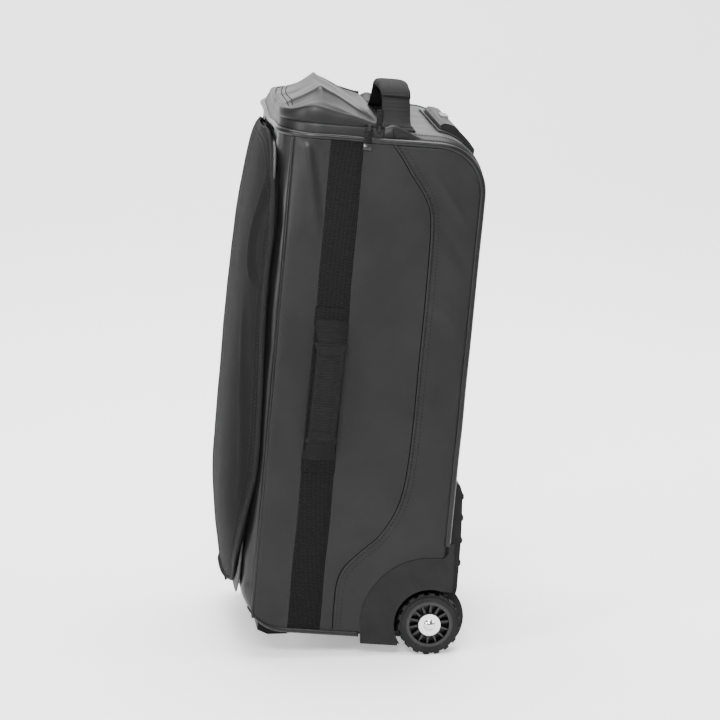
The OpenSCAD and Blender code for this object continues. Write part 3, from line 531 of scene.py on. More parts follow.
def relief(y, z):
    """how far the side tarpaulin stands off the plane of the side panel, mm (0 at the welt)"""
    y = np.asarray(y, float); z = np.asarray(z, float)
    u = np.clip((y - SEAM_Y) / (BY - SEAM_Y), 0, 1); v = np.clip((z - BZ) / (ZS - BZ), 0, 1)
    e = np.minimum(sm(0, 0.10, u) * sm(0, 0.13, 1 - u), sm(0, 0.03, v) * sm(0, 0.05, 1 - v))
    r = 3.4 * np.sin(pi * u) ** 0.7 * np.sin(pi * v) ** 0.6
    r = r + 1.1 * e * vn(y / 95 + 3, z / 130 + 1, 4.2) + 0.5 * e * vn(y / 38, z / 60, 8.1)
    # pulls from the front seam
    fr = np.exp(-(y - SEAM_Y) / 20.0) * sm(0, 6, y - SEAM_Y)
    r = r + 1.5 * fr * vn(z / 22 + (y - SEAM_Y) / 60.0, 5.5, y / 70) * (0.5 + 0.5 * vn(z / 90, 2.2))
    r = r + 0.9 * np.exp(-((y + 192) / 16) ** 2) * vn((z + 0.8 * y) / 34, y / 25, 1.3)
    # a fold that hangs from the welt in front of the strap
    t = np.clip((572 - z) / 120.0, 0, 1); yc = -203 + 27 * t ** 0.7
    r = r + 2.0 * np.exp(-((y - yc) / 5.0) ** 2) * sm(0, 0.08, t) * (1 - sm(0.72, 1, t)) - 1.1 * np.exp(-((y - yc - 10) / 7.0) ** 2) * sm(0, 0.1, t) * (1 - sm(0.6, 1, t))
    # long slanting pulls that run down from the back-top corner
    bx = np.exp(-((y + 12) / 34) ** 2) * sm(250, 420, z) * (1 - sm(535, 570, z))
    q = (z + 1.15 * y)
    r = r + bx * e * (1.9 * ridge(vn(q / 46 + 2, y / 120, 3.7)) ** 2 - 0.9 + 0.5 * vn(q / 17, y / 60, 2.2))
    # short pulls along the back welt and above the housing
    bk = np.exp(-(BY - y) / 16.0) * sm(0, 5, BY - y) * sm(95, 140, z) * (1 - sm(430, 520, z))
    r = r + 1.2 * bk * vn(z / 20 - y / 40, 9.4, 0.5) * (0.4 + 0.6 * vn(z / 70, 6.6) ** 2)
    # small puckers along the curved seam
    d = y - seam_y(z)
    r = r + 0.35 * np.exp(-(d / 9) ** 2) * vn(z / 9 + 2, 1.1, y / 30) * e
    k = sm(82, 122, np.hypot(y, z)) * (1 - 0.9 * sm(-160, -85, y) * sm(40, -10, z) * 0)
    k = k * (1 - sm(-60, -20, y) * sm(108, 60, z))                                # lies flat under the wheel housing's plate
    return r * k - corner(y, z)
def side_pt(y, z, off=0.0, s=1): return np.stack([s * (HW + relief(y, z) + off), np.asarray(y, float) + 0 * np.asarray(z, float), np.asarray(z, float) + 0 * np.asarray(y, float)], -1)

ARCH = 60.0
for s, sn in ((1, "right"), (-1, "left")):
    # main side panel
    zz = np.r_[np.linspace(BZ + 1.6, BZ + FR, 16)[:-1], np.linspace(BZ + FR, ZS - 52, 150)[:-1], np.linspace(ZS - 52, ZS + 1.6, 26)]
    uu = np.linspace(0, 1, 78)
    Y = y_front(zz)[:, None] + (np.where(True, y_back(zz), 0) - y_front(zz))[:, None] * uu[None, :]
    Z = np.broadcast_to(zz[:, None], Y.shape)
    P = side_pt(Y, Z, 0.0, s)
    keep = (np.hypot(Y, Z) > ARCH)[:-1, :-1] & (np.hypot(Y, Z) > ARCH)[1:, 1:]
    o = grid("side_tarp_" + sn, P, "body", T, "tarpaulin", flip=(s < 0), keep=keep, thick=1.6, off=-1.0 if s > 0 else 1.0)
    drop_nodes(o, "side_panel_" + sn)
    # rear overlay behind the curved seam, its front edge turned in
    zz = np.r_[np.linspace(BZ + 2.5, ZS - 52, 150)[:-1], np.linspace(ZS - 52, ZS + 0.6, 22)]
    cu = np.r_[0, 0.004, 0.010, 0.02, np.linspace(0.045, 1, 34)]
    lift = np.interp(cu, [0, 0.004, 0.010, 0.02, 0.045, 1], [-1.2, 1.3, 2.0, 2.1, 1.5, 1.2])
    ys = seam_y(zz); Y = ys[:, None] + (y_back(zz) - ys)[:, None] * cu[None, :]; Z = np.broadcast_to(zz[:, None], Y.shape)
    P = side_pt(Y, Z, lift[None, :], s)
    keep = (np.hypot(Y, Z) > ARCH)[:-1, :-1] & (np.hypot(Y, Z) > ARCH)[1:, 1:]
    ovl = grid("overlay_" + sn, P, "body", T, "tarpaulin", flip=(s < 0), keep=keep, thick=0.7, off=-1.0 if s > 0 else 1.0)
    if s > 0: drop_nodes(ovl, "side_overlays")
    # stitching: two rows on the overlay, one dashed row behind the front seam
    sp = resample(seam[(seam[:, 1] < 575) & (seam[:, 1] > -16)], 3.0)
    tn = np.gradient(sp, axis=0); tn /= np.linalg.norm(tn, axis=1)[:, None]; nn = np.stack([-tn[:, 1], tn[:, 0]], 1); nn *= np.sign(nn[:, :1] + 1e-9)
    rows = []
    for dd in (3.0, 8.6):
        q = sp + nn * dd
        q = q[(np.hypot(q[:, 0], q[:, 1]) > 84)]
        rows.append(side_pt(q[:, 0], q[:, 1], 2.2 if dd < 5 else 1.75, s))
    zf = np.linspace(16, ZS - 2, 180); rows.append(side_pt(SEAM_Y + 6.5 + 0 * zf, zf, 0.5, s))
    qe = sp[(np.hypot(sp[:, 0], sp[:, 1]) > 84)]
    # a near-black tube along the overlay's turned front edge: painted shadow in the seam groove
    sweep("overlay_edge_" + sn, side_pt(qe[:, 0] - 0.9, qe[:, 1], 0.9, s), circ(1.05, 6), (s, 0, 0), "body", EDGE, "piping")
    stitches("side_stitches_" + sn, rows, [(s, 0, 0)] * 3, "body", THREAD_D, "webbing", r=0.62, length=3.4, gap=1.2)
    # front seam piping
    zf = np.linspace(2, ZS + 1, 160); q = side_pt(SEAM_Y - 0.6 + 0 * zf, zf, 1.1, s); q[:, 0] += s * 0.25 * vn(zf / 40, 3.0)
    bot = np.array([[s * (HW + 0.4), SEAM_Y + 1, -6.0]])
    o = sweep("front_piping_" + sn, np.vstack([bot, q]), circ(1.75, 10), (s, 0, 0), "body", PIPE, "piping")
    if s > 0: drop_nodes(o, "front_seam_piping")
    # strap down the side
    def strap(name, zs, w, off, body, mat, slot, th=1.5, yc=-151.0):
        prof = np.array([(-w / 2, 0), (-w / 2 + 0.5, th * 0.75), (-w / 2 + 1.6, th * 1.02), (-w / 4, th), (0, th), (w / 4, th), (w / 2 - 1.6, th * 1.02), (w / 2 - 0.5, th * 0.75), (w / 2, 0)])
        V = []; UV = []
        for z in zs:
            y = yc + prof[:, 0] + 0.5 * vn(z / 60.0, 1.0)
            V.append(np.stack([s * (HW + relief(y, z + 0 * y) + off + prof[:, 1]), y, z + 0 * y], 1)); UV.append(np.stack([z + 0 * y, prof[:, 0]], 1))
        return grid(name, np.array(V), body, mat, slot, uv=np.array(UV), flip=(s > 0))
    st = strap("strap_" + sn, np.linspace(BZ + 2.5, ZS + 1.5, 200), 40, 0.5, "body", WEB, "webbing")
    if s > 0: drop_nodes(st, "body_webbing")
    rows = []
    for yy in (-151 - 17.4, -151 + 17.4):
        zf = np.linspace(BZ + 8, ZS - 3, 160); rows.append(side_pt(yy + 0 * zf, zf, 2.0, s))
    stitches("strap_stitches_" + sn, rows, [(s, 0, 0)] * 2, "body", THREAD_D, "webbing", length=3.0, gap=1.5, r=0.4)

# ------------------------------------------------------------------ welts
for s, sn in ((1, "right"), (-1, "left")):
    zt = ZS + 4.0; xo = HW + 1.4; cr_ = 42.0
    pts = [(0.0 if s > 0 else 0.0, FY - 1.5, zt)]
    front = [(s * x, FY - 1.2, zt - 5.0 * (1 - sm(0, 95, x))) for x in np.linspace(0, xo - cr_, 24)]
    cor1 = [(s * (xo - cr_ + cr_ * math.sin(a)), FY - 1.2 + cr_ - cr_ * math.cos(a), zt) for a in np.radians(np.linspace(4, 90, 16))]
    side_ = [(s * xo, y, zt) for y in np.linspace(FY - 1.2 + cr_ + 5, BY - 55, 50)]
    cor2 = [(s * xo, p[0], p[1]) for p in arc(BY - 55, ZS - 52, 56.0, 86, 0, 16)]
    down = [(s * xo, BY + 1.0, z) for z in np.linspace(ZS - 60, 97, 90)]
    q = resample(np.array(front + cor1 + side_ + cor2 + down), 3.0)
    sag = 0.5 * np.stack([vn(q[:, 1] / 40, q[:, 2] / 40, 1.0), vn(q[:, 1] / 50, q[:, 2] / 50, 5.0), vn(q[:, 1] / 45 + q[:, 0] / 60, q[:, 2] / 45, 9.0)], 1); sag[:3] = 0
    q = q + sag
    o = sweep("edge_welt_" + sn, q, circ(3.7, 14), (s, 0.3, 0.2), "body", PIPE, "piping")
    bw = resample(np.vstack([np.array([(s * (HW + 1.0 - 2.6 * (i < 6) * (1 - i / 6.0)), p[0], p[1]) for i, p in enumerate(arc(FY + FR, BZ + FR, FR - 1.0, 212, 270, 16))]), [[s * (HW + 1.0), -84, BZ + 0.8]]]), 3.0)
    o2 = sweep("bottom_welt_" + sn, bw, circ(3.2, 12), (s, 0, 0), "body", PIPE, "piping", scale=0.35 + 0.65 * sm(0, 45, np.arange(len(bw)) * 3.0))
    drop_nodes(o, "edge_piping_" + sn)

# ------------------------------------------------------------------ front, bottom
def shell_ring(xs_fn, path):
    """cross lines over the bag, one for each (y, z, outward normal angle) of the path"""
    return np.array([xs_fn(*p) for p in path])
CR = 20.0
def front_line(z):
    """plan line of the front at height z, right to left: from the seam round the corner and along the front"""
    c = float(crz(z)); a0 = math.asin(min(0.99, max(0.0, (c - 14.5) / c))); a = np.linspace(a0, pi / 2, 14); xc = HW - c
    L = [(xc + c * math.cos(t), FY + c - math.sin(t) * c, math.cos(t), -math.sin(t)) for t in a]
    mid = [(x, FY, 0.0, -1.0) for x in np.linspace(xc, -xc, 44)[1:-1]]
    return np.array(L + mid + [(-x, y, -nx, ny) for x, y, nx, ny in L[::-1]])
rows = []
for z in np.r_[np.linspace(ZS + 2.5, BZ + FR, 170)]:
    L = front_line(z); x, y, nx, ny = L.T
    t = np.r_[0, np.cumsum(np.hypot(np.diff(x), np.diff(y)))]
    e1 = sm(0, 6, t) * sm(0, 6, t[-1] - t)
    top = np.exp(-(ZS - z) / 30.0)                        # gathers under the top welt
    g = 2.0 * top * vn(t / 6.5, 2.0, z / 160) + 0.9 * np.exp(-(ZS - z) / 80.0) * vn(t / 15, 6.0, z / 110)
    g = g + 1.2 * vn(t / 30, z / 46, 7.0) * sm(0, 20, z - BZ - FR)
    sag = -5.0 * (1 - sm(0, 95, np.abs(x))) * sm(ZS - 40, ZS, z)
    rows.append(np.stack([x + g * nx * e1, y + g * ny * e1, z + sag], 1))
for p, a in zip(arc(FY + FR, BZ + FR, FR, 180, 270, 18)[1:], np.linspace(180, 270, 19)[1:]):
    k = 1 - (a - 180) / 90.0
    c_ = max(4.0, 24.0 * k); aa = np.radians(np.linspace(20, 90, 14)); xc = HW - 1.0 * (1 - k) - c_
    n2 = np.array([math.cos(math.radians(a)), math.sin(math.radians(a))])
    L = [(xc + c_ * math.cos(t), c_ * (1 - math.sin(t))) for t in aa]; mid = [(x, 0.0) for x in np.linspace(xc, -xc, 44)[1:-1]]
    Lp = np.array(L + mid + [(-x, d) for x, d in L[::-1]])
    g = 0.9 * vn(Lp[:, 0] / 26, a / 14.0, 3.3) * sm(0, 12, HW - np.abs(Lp[:, 0]))
    d = Lp[:, 1] - g
    rows.append(np.stack([Lp[:, 0], p[0] - n2[0] * d, p[1] - n2[1] * d], 1))
for y in np.linspace(FY + FR, -8, 46)[1:]:
    Lp = rows[-1].copy(); q = Lp.copy(); q[:, 1] = y; dz = (Lp[:, 2] - Lp[:, 2].min()); q[:, 2] = BZ + np.minimum(dz, 4) * 0.9 - 0.5 * vn(q[:, 0] / 40, y / 40, 2.0)
    q[:, 2] = np.where(np.abs(q[:, 0]) > HW - 5, BZ + (np.abs(q[:, 0]) - HW + 5) * 0.7, q[:, 2])
    rows.append(q)
P = np.array(rows)
cen = (P[:-1, :-1] + P[1:, 1:]) / 2
keep = ~((cen[..., 1] > -50) & (np.abs(cen[..., 0]) > HW - 31) & (cen[..., 2] < 20))
o = grid("front_and_bottom_tarp", P, "body", T_gloss, "tarpaulin", keep=keep, thick=1.8, off=1.0)
drop_nodes(o, "front_panel", "bottom_panel")
FRONT = o
# the door opening is cut through the front
def cutter(name, w, h, r, x, z, y0, y1, n=8):
    L = rrect(w, h, r, n); n_ = len(L)
    V = [(x + a, y0, z + b) for a, b in L] + [(x + a, y1, z + b) for a, b in L]
    F = [tuple(range(n_))[::-1], tuple(range(n_, 2 * n_))] + [(i, (i + 1) % n_, n_ + (i + 1) % n_, n_ + i) for i in range(n_)]
    me = bpy.data.meshes.new(name); me.from_pydata([tuple(v) for v in R(np.array(V, float))], [], F)
    c = bpy.data.objects.new(name, me); bpy.context.scene.collection.objects.link(c)
    bm = bmesh.new(); bm.from_mesh(me); bmesh.ops.recalc_face_normals(bm, faces=bm.faces); bm.to_mesh(me); bm.free()
    return c
def cut(o, c):
    md = o.modifiers.new("c", "BOOLEAN"); md.operation = "DIFFERENCE"; md.solver = "EXACT"; md.object = c
    apply(o); bpy.data.objects.remove(c)
cut(FRONT, cutter("c", 228, 529, 34, 0, 280.5, FY - 30, FY + 40))

# ------------------------------------------------------------------ deck, back corner and back
tr = 55.0
path = [(y, 586.0, 90.0) for y in np.linspace(-108, BY - tr, 20)]
path += [(BY - tr + tr * math.cos(math.radians(a)), 586 - tr + tr * math.sin(math.radians(a)), a) for a in np.linspace(90, 0, 20)[1:]]
path += [(BY, z, 0.0) for z in np.linspace(586 - tr, 18, 130)[1:]]
rows = []
xs = np.r_[np.array([HW - 0.5, HW - 1.2, HW - 3.0, HW - 6, HW - 11, HW - 17]), np.linspace(HW - 24, -(HW - 24), 50), -np.array([HW - 17, HW - 11, HW - 6, HW - 3.0, HW - 1.2, HW - 0.5])]
for y, z, a in path:
    n2 = np.array([math.cos(math.radians(a)), math.sin(math.radians(a))])
    ax = np.abs(xs)
    top = sm(0, 30, z - 531) if a > 0 or z > 530 else 0.0
    drop = np.where(ax > HW - 20, ((ax - (HW - 20)) / 20.0) ** 2 * (9.5 * top + 3.0 * (1 - top)), 0)
    g = (0.8 * vn(xs / 40, z / 60 + y / 60, 1.5) + 0.5 * vn(xs / 16, z / 34 + y / 30, 4.0)) * sm(0, 20, HW - ax) * (1 if a == 0 else 0.7)
    dd = drop - g
    rows.append(np.stack([xs, y - n2[0] * dd, z - n2[1] * dd], 1))
P = np.array(rows)
P0 = np.array([[0, p[0], p[1]] for p in path]); zc = (P0[:-1, 2] + P0[1:, 2]) / 2; yc = (P0[:-1, 1] + P0[1:, 1]) / 2
xc = (xs[:-1] + xs[1:]) / 2
inb = ((yc > -38) & (zc > 532))[:, None] & (np.abs(xc) < 92.5)[None, :]
low = (zc < 46)[:, None] & (np.abs(xc) > HW - 31)[None, :]
o = grid("back_and_deck_tarp", P, "body", T, "tarpaulin", keep=~(inb | low), thick=1.8, off=-1.0, flip=False)
drop_nodes(o, "back_panel", "top_deck")
BACK = o

# ------------------------------------------------------------------ the front door: panel, cover, gusset, tab
D = "door"
# flat panel of the door (what is behind the pocket), lining on its inner side
L = rrect(270, 548, 36, 8); L = np.array([(x, z + 286) for x, z in L])
def plate(name, L, y0, y1, body, mat, slot, r=0.8, bulge=0.0):
    """a flat sheet of cloth with a rounded edge, outline L in (x, z), between y0 (front) and y1"""
    c = L.mean(0); rings = []
    for k, (f, y) in enumerate(((0.0, y0), (0.5, y0), (0.9, y0), (0.985, y0), (1.0, y0 + 0.35 * (y1 - y0)), (1.0, y1 - 0.35 * (y1 - y0)), (0.985, y1), (0.9, y1), (0.5, y1), (0.0, y1))):
        q = c + (L - c) * f; b = bulge * (1 - f ** 2)
        rings.append(np.stack([q[:, 0], np.full(len(q), y) + b * (vn(q[:, 0] / 60, q[:, 1] / 60, 5) if b else 0), q[:, 1]], 1))
    V = np.vstack(rings); n = len(L); F = []
    for k in range(len(rings) - 1):
        for j in range(n): F.append((k * n + j, k * n + (j + 1) % n, (k + 1) * n + (j + 1) % n, (k + 1) * n + j))
    o = mesh(name, V, F, body, mat, slot)
    bm = bmesh.new(); bm.from_mesh(o.data); bmesh.ops.remove_doubles(bm, verts=bm.verts, dist=1e-5); bmesh.ops.recalc_face_normals(bm, faces=bm.faces); bm.to_mesh(o.data); bm.free()
    return o
o = plate("door_inner_panel", L, -232.4, -230.0, D, LINER, "tarpaulin"); drop_nodes(o, "door_panel")
# zip tape of the door, on the body round the opening
def band(name, L, w, y, body, mat, slot, th=0.7, out=True, jit=0.0, closed=True):
    Lr = resample(np.vstack([L, L[:1]]) if closed else L, 5.0)
    if closed: Lr = Lr[:-1]
    P = np.stack([Lr[:, 0], y + jit * vn(Lr[:, 0] / 30, Lr[:, 1] / 30, 2.0), Lr[:, 1]], 1)
    prof = np.array([(-w / 2, -th / 2), (-w / 2 + 0.3, th / 2), (w / 2 - 0.3, th / 2), (w / 2, -th / 2)])
    return sweep(name, P, prof[:, ::-1], (0, -1, 0), body, mat, slot, closed=closed)
Lz = rrect(239, 522, 38, 8) + np.array([0, 301])
o = band("door_zip_tape_body", Lz, 8, -229.4, "body", ZIPT, "zip_tape"); drop_nodes(o, "door_zip_tape")
# coil teeth on an open line
def coil(name, P, hint, body, w=4.2, pitch=1.9, r=0.62):
    P = resample(np.asarray(P, float), pitch); Tn, N, B = frames(P, hint); V = []; F = []
    for k in range(len(P)):
        sgn = 1 if k % 2 else -1; base = len(V)
        for t in (-0.5, 0.5):
            for a in range(6):
                ang = a * pi / 3
                V.append(P[k] + N[k] * (t * w) + Tn[k] * (r * math.cos(ang) + 0.25 * sgn * t) + B[k] * (r * math.sin(ang)))
        for a in range(6): F.append((base + a, base + (a + 1) % 6, base + 6 + (a + 1) % 6, base + 6 + a))
        F.append(tuple(base + a for a in range(6))[::-1]); F.append(tuple(base + 6 + a for a in range(6)))
    o = mesh(name, np.array(V), F, body, ZIPC, "zip_tape"); return o

# the cover
ce = cr([(-238.5, 570), (-236.5, 560), (-234.8, 543), (-233, 520), (-231.6, 492), (-231, 456), (-231.8, 430), (-232.5, 404), (-232, 360), (-230, 315), (-227.5, 270), (-225.8, 224), (-225.2, 198), (-226, 168), (-228.2, 152), (-232, 128), (-236, 100), (-238.5, 64), (-238, 45), (-236.5, 25), (-235.5, 0)], 6)
cc = cr([(-242.5, 570), (-244.5, 560), (-248, 545), (-251.5, 521), (-254.3, 495), (-257.6, 460), (-259.6, 417), (-261.3, 349), (-262, 286), (-262, 174), (-259.5, 123), (-253, 73), (-246, 35), (-241.5, 14), (-239, 0)], 6)
def ce_y(z): return np.interp(z, ce[::-1, 1], ce[::-1, 0])
def cc_y(z): return np.interp(z, cc[::-1, 1], cc[::-1, 0])
CW, ZT_, ZB_ = 149.5, 566.0, 15.0
RT_, RB_ = 102.0, 108.0
def cov_y(x, z):
    t = np.clip(np.abs(x) / CW, 0, 1)
    q = 0.10 * t ** 1.4 + 0.90 * np.clip(t, 0, 1) ** 4.2
    y = cc_y(z) * (1 - q) + ce_y(z) * q
    e = sm(0, 14, CW - np.abs(x)) * sm(0, 16, z - ZB_) * sm(0, 14, ZT_ - z)
    w = 0
    # broad dents, slanting pulls from the corners, and small creases
    w = w + 1.7 * vn(x / 85 + 2, z / 120 + 1, 6.0)
    w = w + 1.3 * (ridge(vn((x * 0.8 + z) / 75 + 3, (x - z * 0.5) / 150, 2.5)) ** 3) * sm(0.0, 0.5, vn(x / 120, z / 150, 9.0) + 0.35)
    w = w + 1.2 * (ridge(vn((x - 1.3 * z) / 90 + 7, x / 130, 4.4)) ** 3) * sm(-0.1, 0.6, vn(x / 110 + 4, z / 140, 1.0))
    w = w + 0.45 * vn(x / 22, z / 28, 3.1)
    # the fold that runs beside the long edge near the top, with the cloth turned away behind it
    ax = np.abs(x); zk = np.clip((z - 385) / 130.0, 0, 1); xk = 134 - 26 * np.sin(pi * zk ** 0.8) ; m_ = sm(385, 410, z) * (1 - sm(505, 535, z))
    fold = -(2.6 * np.exp(-((ax - xk) / 5.0) ** 2) - 2.4 * np.exp(-((ax - xk - 13) / 8.0) ** 2)) * m_
    zk2 = np.clip((z - 120) / 250.0, 0, 1); xk2 = 138 - 30 * zk2; m2 = sm(120, 150, z) * (1 - sm(330, 385, z))
    fold = fold - (1.5 * np.exp(-((ax - xk2) / 5.0) ** 2) - 1.3 * np.exp(-((ax - xk2 - 12) / 8.0) ** 2)) * m2
    y = y + fold * sm(0, 8, CW - ax)
    return y + np.clip(w, -2.4, 2.6) * e * -0.62 + 0.3
rows = []
zt = ZT_ - RT_ * (1 - np.cos(np.linspace(0, pi / 2, 34))) ; zb = ZB_ + RB_ * (1 - np.cos(np.linspace(0, pi / 2, 30)))
zr = np.r_[zt, np.linspace(ZT_ - RT_, ZB_ + RB_, 120)[1:-1], zb[::-1]]
us = np.linspace(-1, 1, 91); us = np.sign(us) * (1 - (1 - np.abs(us)) ** 1.25)
def halfw(z):
    z = np.asarray(z, float)
    rt, rb = RT_, RB_
    w = np.full_like(z, CW)
    w = np.where(z > ZT_ - rt, CW - rt + np.sqrt(np.maximum(rt ** 2 - (z - ZT_ + rt) ** 2, 0)), w)
    w = np.where(z < ZB_ + rb, CW - rb + np.sqrt(np.maximum(rb ** 2 - (ZB_ + rb - z) ** 2, 0)), w)
    return w
X = halfw(zr)[:, None] * us[None, :]; Z = np.broadcast_to(zr[:, None], X.shape)
# near a rounded corner the edge keeps the depth it would have on the straight edge
def depth(X, Z):
    hw_ = halfw(Z); t = np.abs(X) / np.maximum(hw_, 1)
    return cov_y(np.sign(X) * t * CW, Z) * (hw_ / CW) ** 0 if False else np.where(True, cov_y(np.sign(X) * (t * CW), Z), 0)
Y = depth(X, Z)
P = np.stack([X, Y, Z], -1)
cover = grid("front_cover", P, D, POLY, "polyester", flip=False, thick=2.2, off=-1.0)
drop_nodes(cover, "pocket_cover")
def edge_pt(t):                                            # empty stub; the outline, right side from top middle to bottom middle, is built below
    pass
zz = np.r_[zt, np.linspace(ZT_ - RT_, ZB_ + RB_, 100)[1:-1], zb[::-1]]
right = np.stack([halfw(zz), depth(halfw(zz), zz), zz], 1)
topl = np.array([(x, depth(np.array([x]), np.array([ZT_]))[0], ZT_) for x in np.linspace(0, halfw(np.array([ZT_]))[0], 24)[:-1]])
botl = np.array([(x, depth(np.array([x]), np.array([ZB_]))[0], ZB_) for x in np.linspace(halfw(np.array([ZB_]))[0], 0, 24)[1:]])
half = np.vstack([topl, right, botl]); out = np.vstack([half, (half * [-1, 1, 1])[::-1][1:-1]])
out = resample(np.vstack([out, out[:1]]), 4.0)[:-1]
out[:, 1] += 1.1
bprof = np.array([(1.9 * math.cos(a) , 1.9 * math.sin(a)) for a in np.linspace(0, 2 * pi, 12, endpoint=False)])
bprof = np.array([(-2.1, -4.5), (-1.9, 1.2), (-1.0, 2.1), (1.0, 2.1), (1.9, 1.2), (2.1, -4.5), (1.4, -4.6), (1.2, 0.8), (-1.2, 0.8), (-1.4, -4.6)])
cen_ = np.array([0, -240, 290.0]); rad = out - cen_; rad[:, 1] = 0; rad /= np.linalg.norm(rad, axis=1)[:, None]
Tn = np.roll(out, -1, 0) - np.roll(out, 1, 0); Tn /= np.linalg.norm(Tn, axis=1)[:, None]
# binding: N = outward in the sheet, B = across it
Nn = np.cross(Tn, np.array([0, 1.0, 0])); Nn /= np.linalg.norm(Nn, axis=1)[:, None]; sg = np.sign((Nn * rad).sum(1)); Nn *= sg[:, None]
# tilt the binding with the sheet near the long edges
sl = np.clip((np.abs(out[:, 0]) - 90) / 60, 0, 1); Nn[:, 1] += 0.55 * sl * sm(-6, 60, out[:, 2]); Nn /= np.linalg.norm(Nn, axis=1)[:, None]
Bn_ = np.cross(Tn, Nn)
V = out[:, None, :] + bprof[None, :, 1:] * Nn[:, None, :] + bprof[None, :, :1] * Bn_[:, None, :]
n_, m_ = V.shape[:2]; I = np.arange(n_ * m_).reshape(n_, m_)
F = [(I[i, j], I[(i + 1) % n_, j], I[(i + 1) % n_, (j + 1) % m_], I[i, (j + 1) % m_]) for i in range(n_) for j in range(m_)]
s_ = np.r_[0, np.cumsum(np.linalg.norm(np.diff(out, axis=0), axis=1))]
uv = np.stack(np.broadcast_arrays(s_[:, None], bprof[None, :, 1]), -1)
b = mesh("cover_binding", V.reshape(-1, 3), F, D, ZIPT, "polyester", uv=uv.reshape(-1, 2))
bm = bmesh.new(); bm.from_mesh(b.data); bmesh.ops.recalc_face_normals(bm, faces=bm.faces); bm.to_mesh(b.data); bm.free()
# double row of stitches inside the edge
rows = []; nr = []
for dd in (5.0, 10.5):
    q = out - rad * 0; k = (CW - dd) / CW
    z_ = out[:, 2].copy(); x_ = out[:, 0].copy()
    nx_ = Nn[:, 0]; nz_ = Nn[:, 2]; ln = np.hypot(nx_, nz_); x2 = x_ - dd * nx_ / ln; z2 = z_ - dd * nz_ / ln
    y2 = depth(x2, z2)
    pt = np.stack([x2, y2, z2], 1); pt = np.vstack([pt, pt[:1]])
    rows.append(pt); a_n = np.stack([0.5 * np.sign(x2) * sm(90, 150, np.abs(x2)), -np.ones_like(x2), 0 * x2], 1); nr.append(np.vstack([a_n, a_n[:1]]))
stitches("cover_stitches", rows, nr, D, THREAD, "polyester", length=3.4, gap=1.6, r=0.42)
# the gusset: a folded band between the cover and the door panel, in the darkened polyester: painted shade of the gap
# behind the cover's edge
gz = np.r_[np.linspace(560, 60, 60)]
for s, sn in ((1, "right"), (-1, "left")):
    rws = []
    for z in np.linspace(562, 21, 80):
        h = halfw(np.array([z]))[0]
        xe = h - 3.2; ye = float(depth(np.array([xe]), np.array([z]))[0]) + 2.6
        xi = min(138.0, h - 8) - 1.0; yi = -229.8
        f = 1.6 * vn(z / 26, 4.0)
        mid1 = (xe - 2.5 + 0.4 * f, min(ye + 5.0 + 0.6 * f, -222.5)); mid2 = (xe - 9 + f, (ye + yi) / 2 + 2.0 + f * 0.6); mid3 = (xi + 3, yi + 0.6)
        pts = cr([(xe, ye), mid1, mid2, mid3, (xi - 4, yi - 1.6)], 4)
        rws.append(np.stack([s * pts[:, 0], pts[:, 1], np.full(len(pts), z)], 1))
    o = grid("cover_gusset_" + sn, np.array(rws), D, POLY_D, "polyester", flip=(s > 0), thick=0.9, off=0.0)
    if s > 0: drop_nodes(o, "pocket_gussets")
# bottom of the pocket, also in the darkened polyester: painted shade
rws = []
for x in np.linspace(-44, 44, 24):
    z = ZB_ + 0.5; ye = float(depth(np.array([x]), np.array([z + 4]))[0]) + 2.4
    pts = cr([(ye, z + 5), (ye + 2.0, z + 1.5), ((ye - 232) / 2, z + 0.5 + 0.8 * vn(x / 20, 1.0)), (-233.5, z + 5), (-232.8, z + 14)], 4)
    rws.append(np.stack([np.full(len(pts), x), pts[:, 0], pts[:, 1]], 1))
grid("cover_gusset_bottom", np.array(rws), D, POLY_D, "polyester", flip=True, thick=0.9, off=0.0)
# the pull tab below the door: a folded strip of webbing
t_ = np.linspace(-1, 1, 61); lx = 92.0 * t_; lz = np.array([ZB_ + RB_ - math.sqrt(max(RB_ ** 2 - max(0.0, abs(v) - (CW - RB_)) ** 2, 0)) for v in lx])
ly = depth(lx, lz + 2.0) + 2.6
sweep("cover_lower_lip", np.stack([lx, ly, lz + 2.4], 1), circ(1.0, 16, 4.6, 6.2), (0, 0, -1), D, POLY, "polyester", scale=0.12 + 0.88 * np.sqrt(np.clip(1 - t_ ** 2, 0, 1)))
pts = cr([(-235.5, 22), (-236.2, 14), (-236.8, 8), (-237.0, 4), (-236.4, 2.2), (-235.2, 2.4), (-234.8, 7), (-234.2, 12), (-233.6, 20)], 5)
P_ = np.stack([0 * pts[:, 0], pts[:, 0], pts[:, 1]], 1)
o = sweep("door_pull_tab", P_, np.array([(-13.5, -0.7), (-14, 0), (-13.5, 0.7), (13.5, 0.7), (14, 0), (13.5, -0.7)]), (1, 0, 0), D, WEB, "webbing"); drop_nodes(o, "door_tab")

# ------------------------------------------------------------------ collar and lid
LCR = 44.0; LW = HW - 2.6; LF = FY + 2.0
def lean(P):
    """the far front corner of the lid leans back"""
    P = np.array(P, float); k = sm(10, -140, P[..., 0]) * sm(-150, -212, P[..., 1]) * np.interp(P[..., 2], [579, 593, 604, 625], [0, 6, 15, 20])
    P[..., 1] += k; return P
def outline(off=0.0, y_end=-109.0, n=14, step=3.5):
    """plan of the collar, right end to left end, moved outward by off; gives x, y, nx, ny"""
    w = LW + off; f = LF - off; r = LCR + off
    side = [(w, y, 1.0, 0.0) for y in np.linspace(y_end, f + r, 30)[:-1]]
    co_ = [(w - r + r * math.cos(t), f + r - r * math.sin(t), math.cos(t), -math.sin(t)) for t in np.linspace(0, pi / 2, n)]
    mid = [(x, f, 0.0, -1.0) for x in np.linspace(w - r, -(w - r), 70)[1:-1]]
    h = side + co_
    return np.array(h + mid + [(-x, y, -nx, ny) for x, y, nx, ny in h[::-1]])
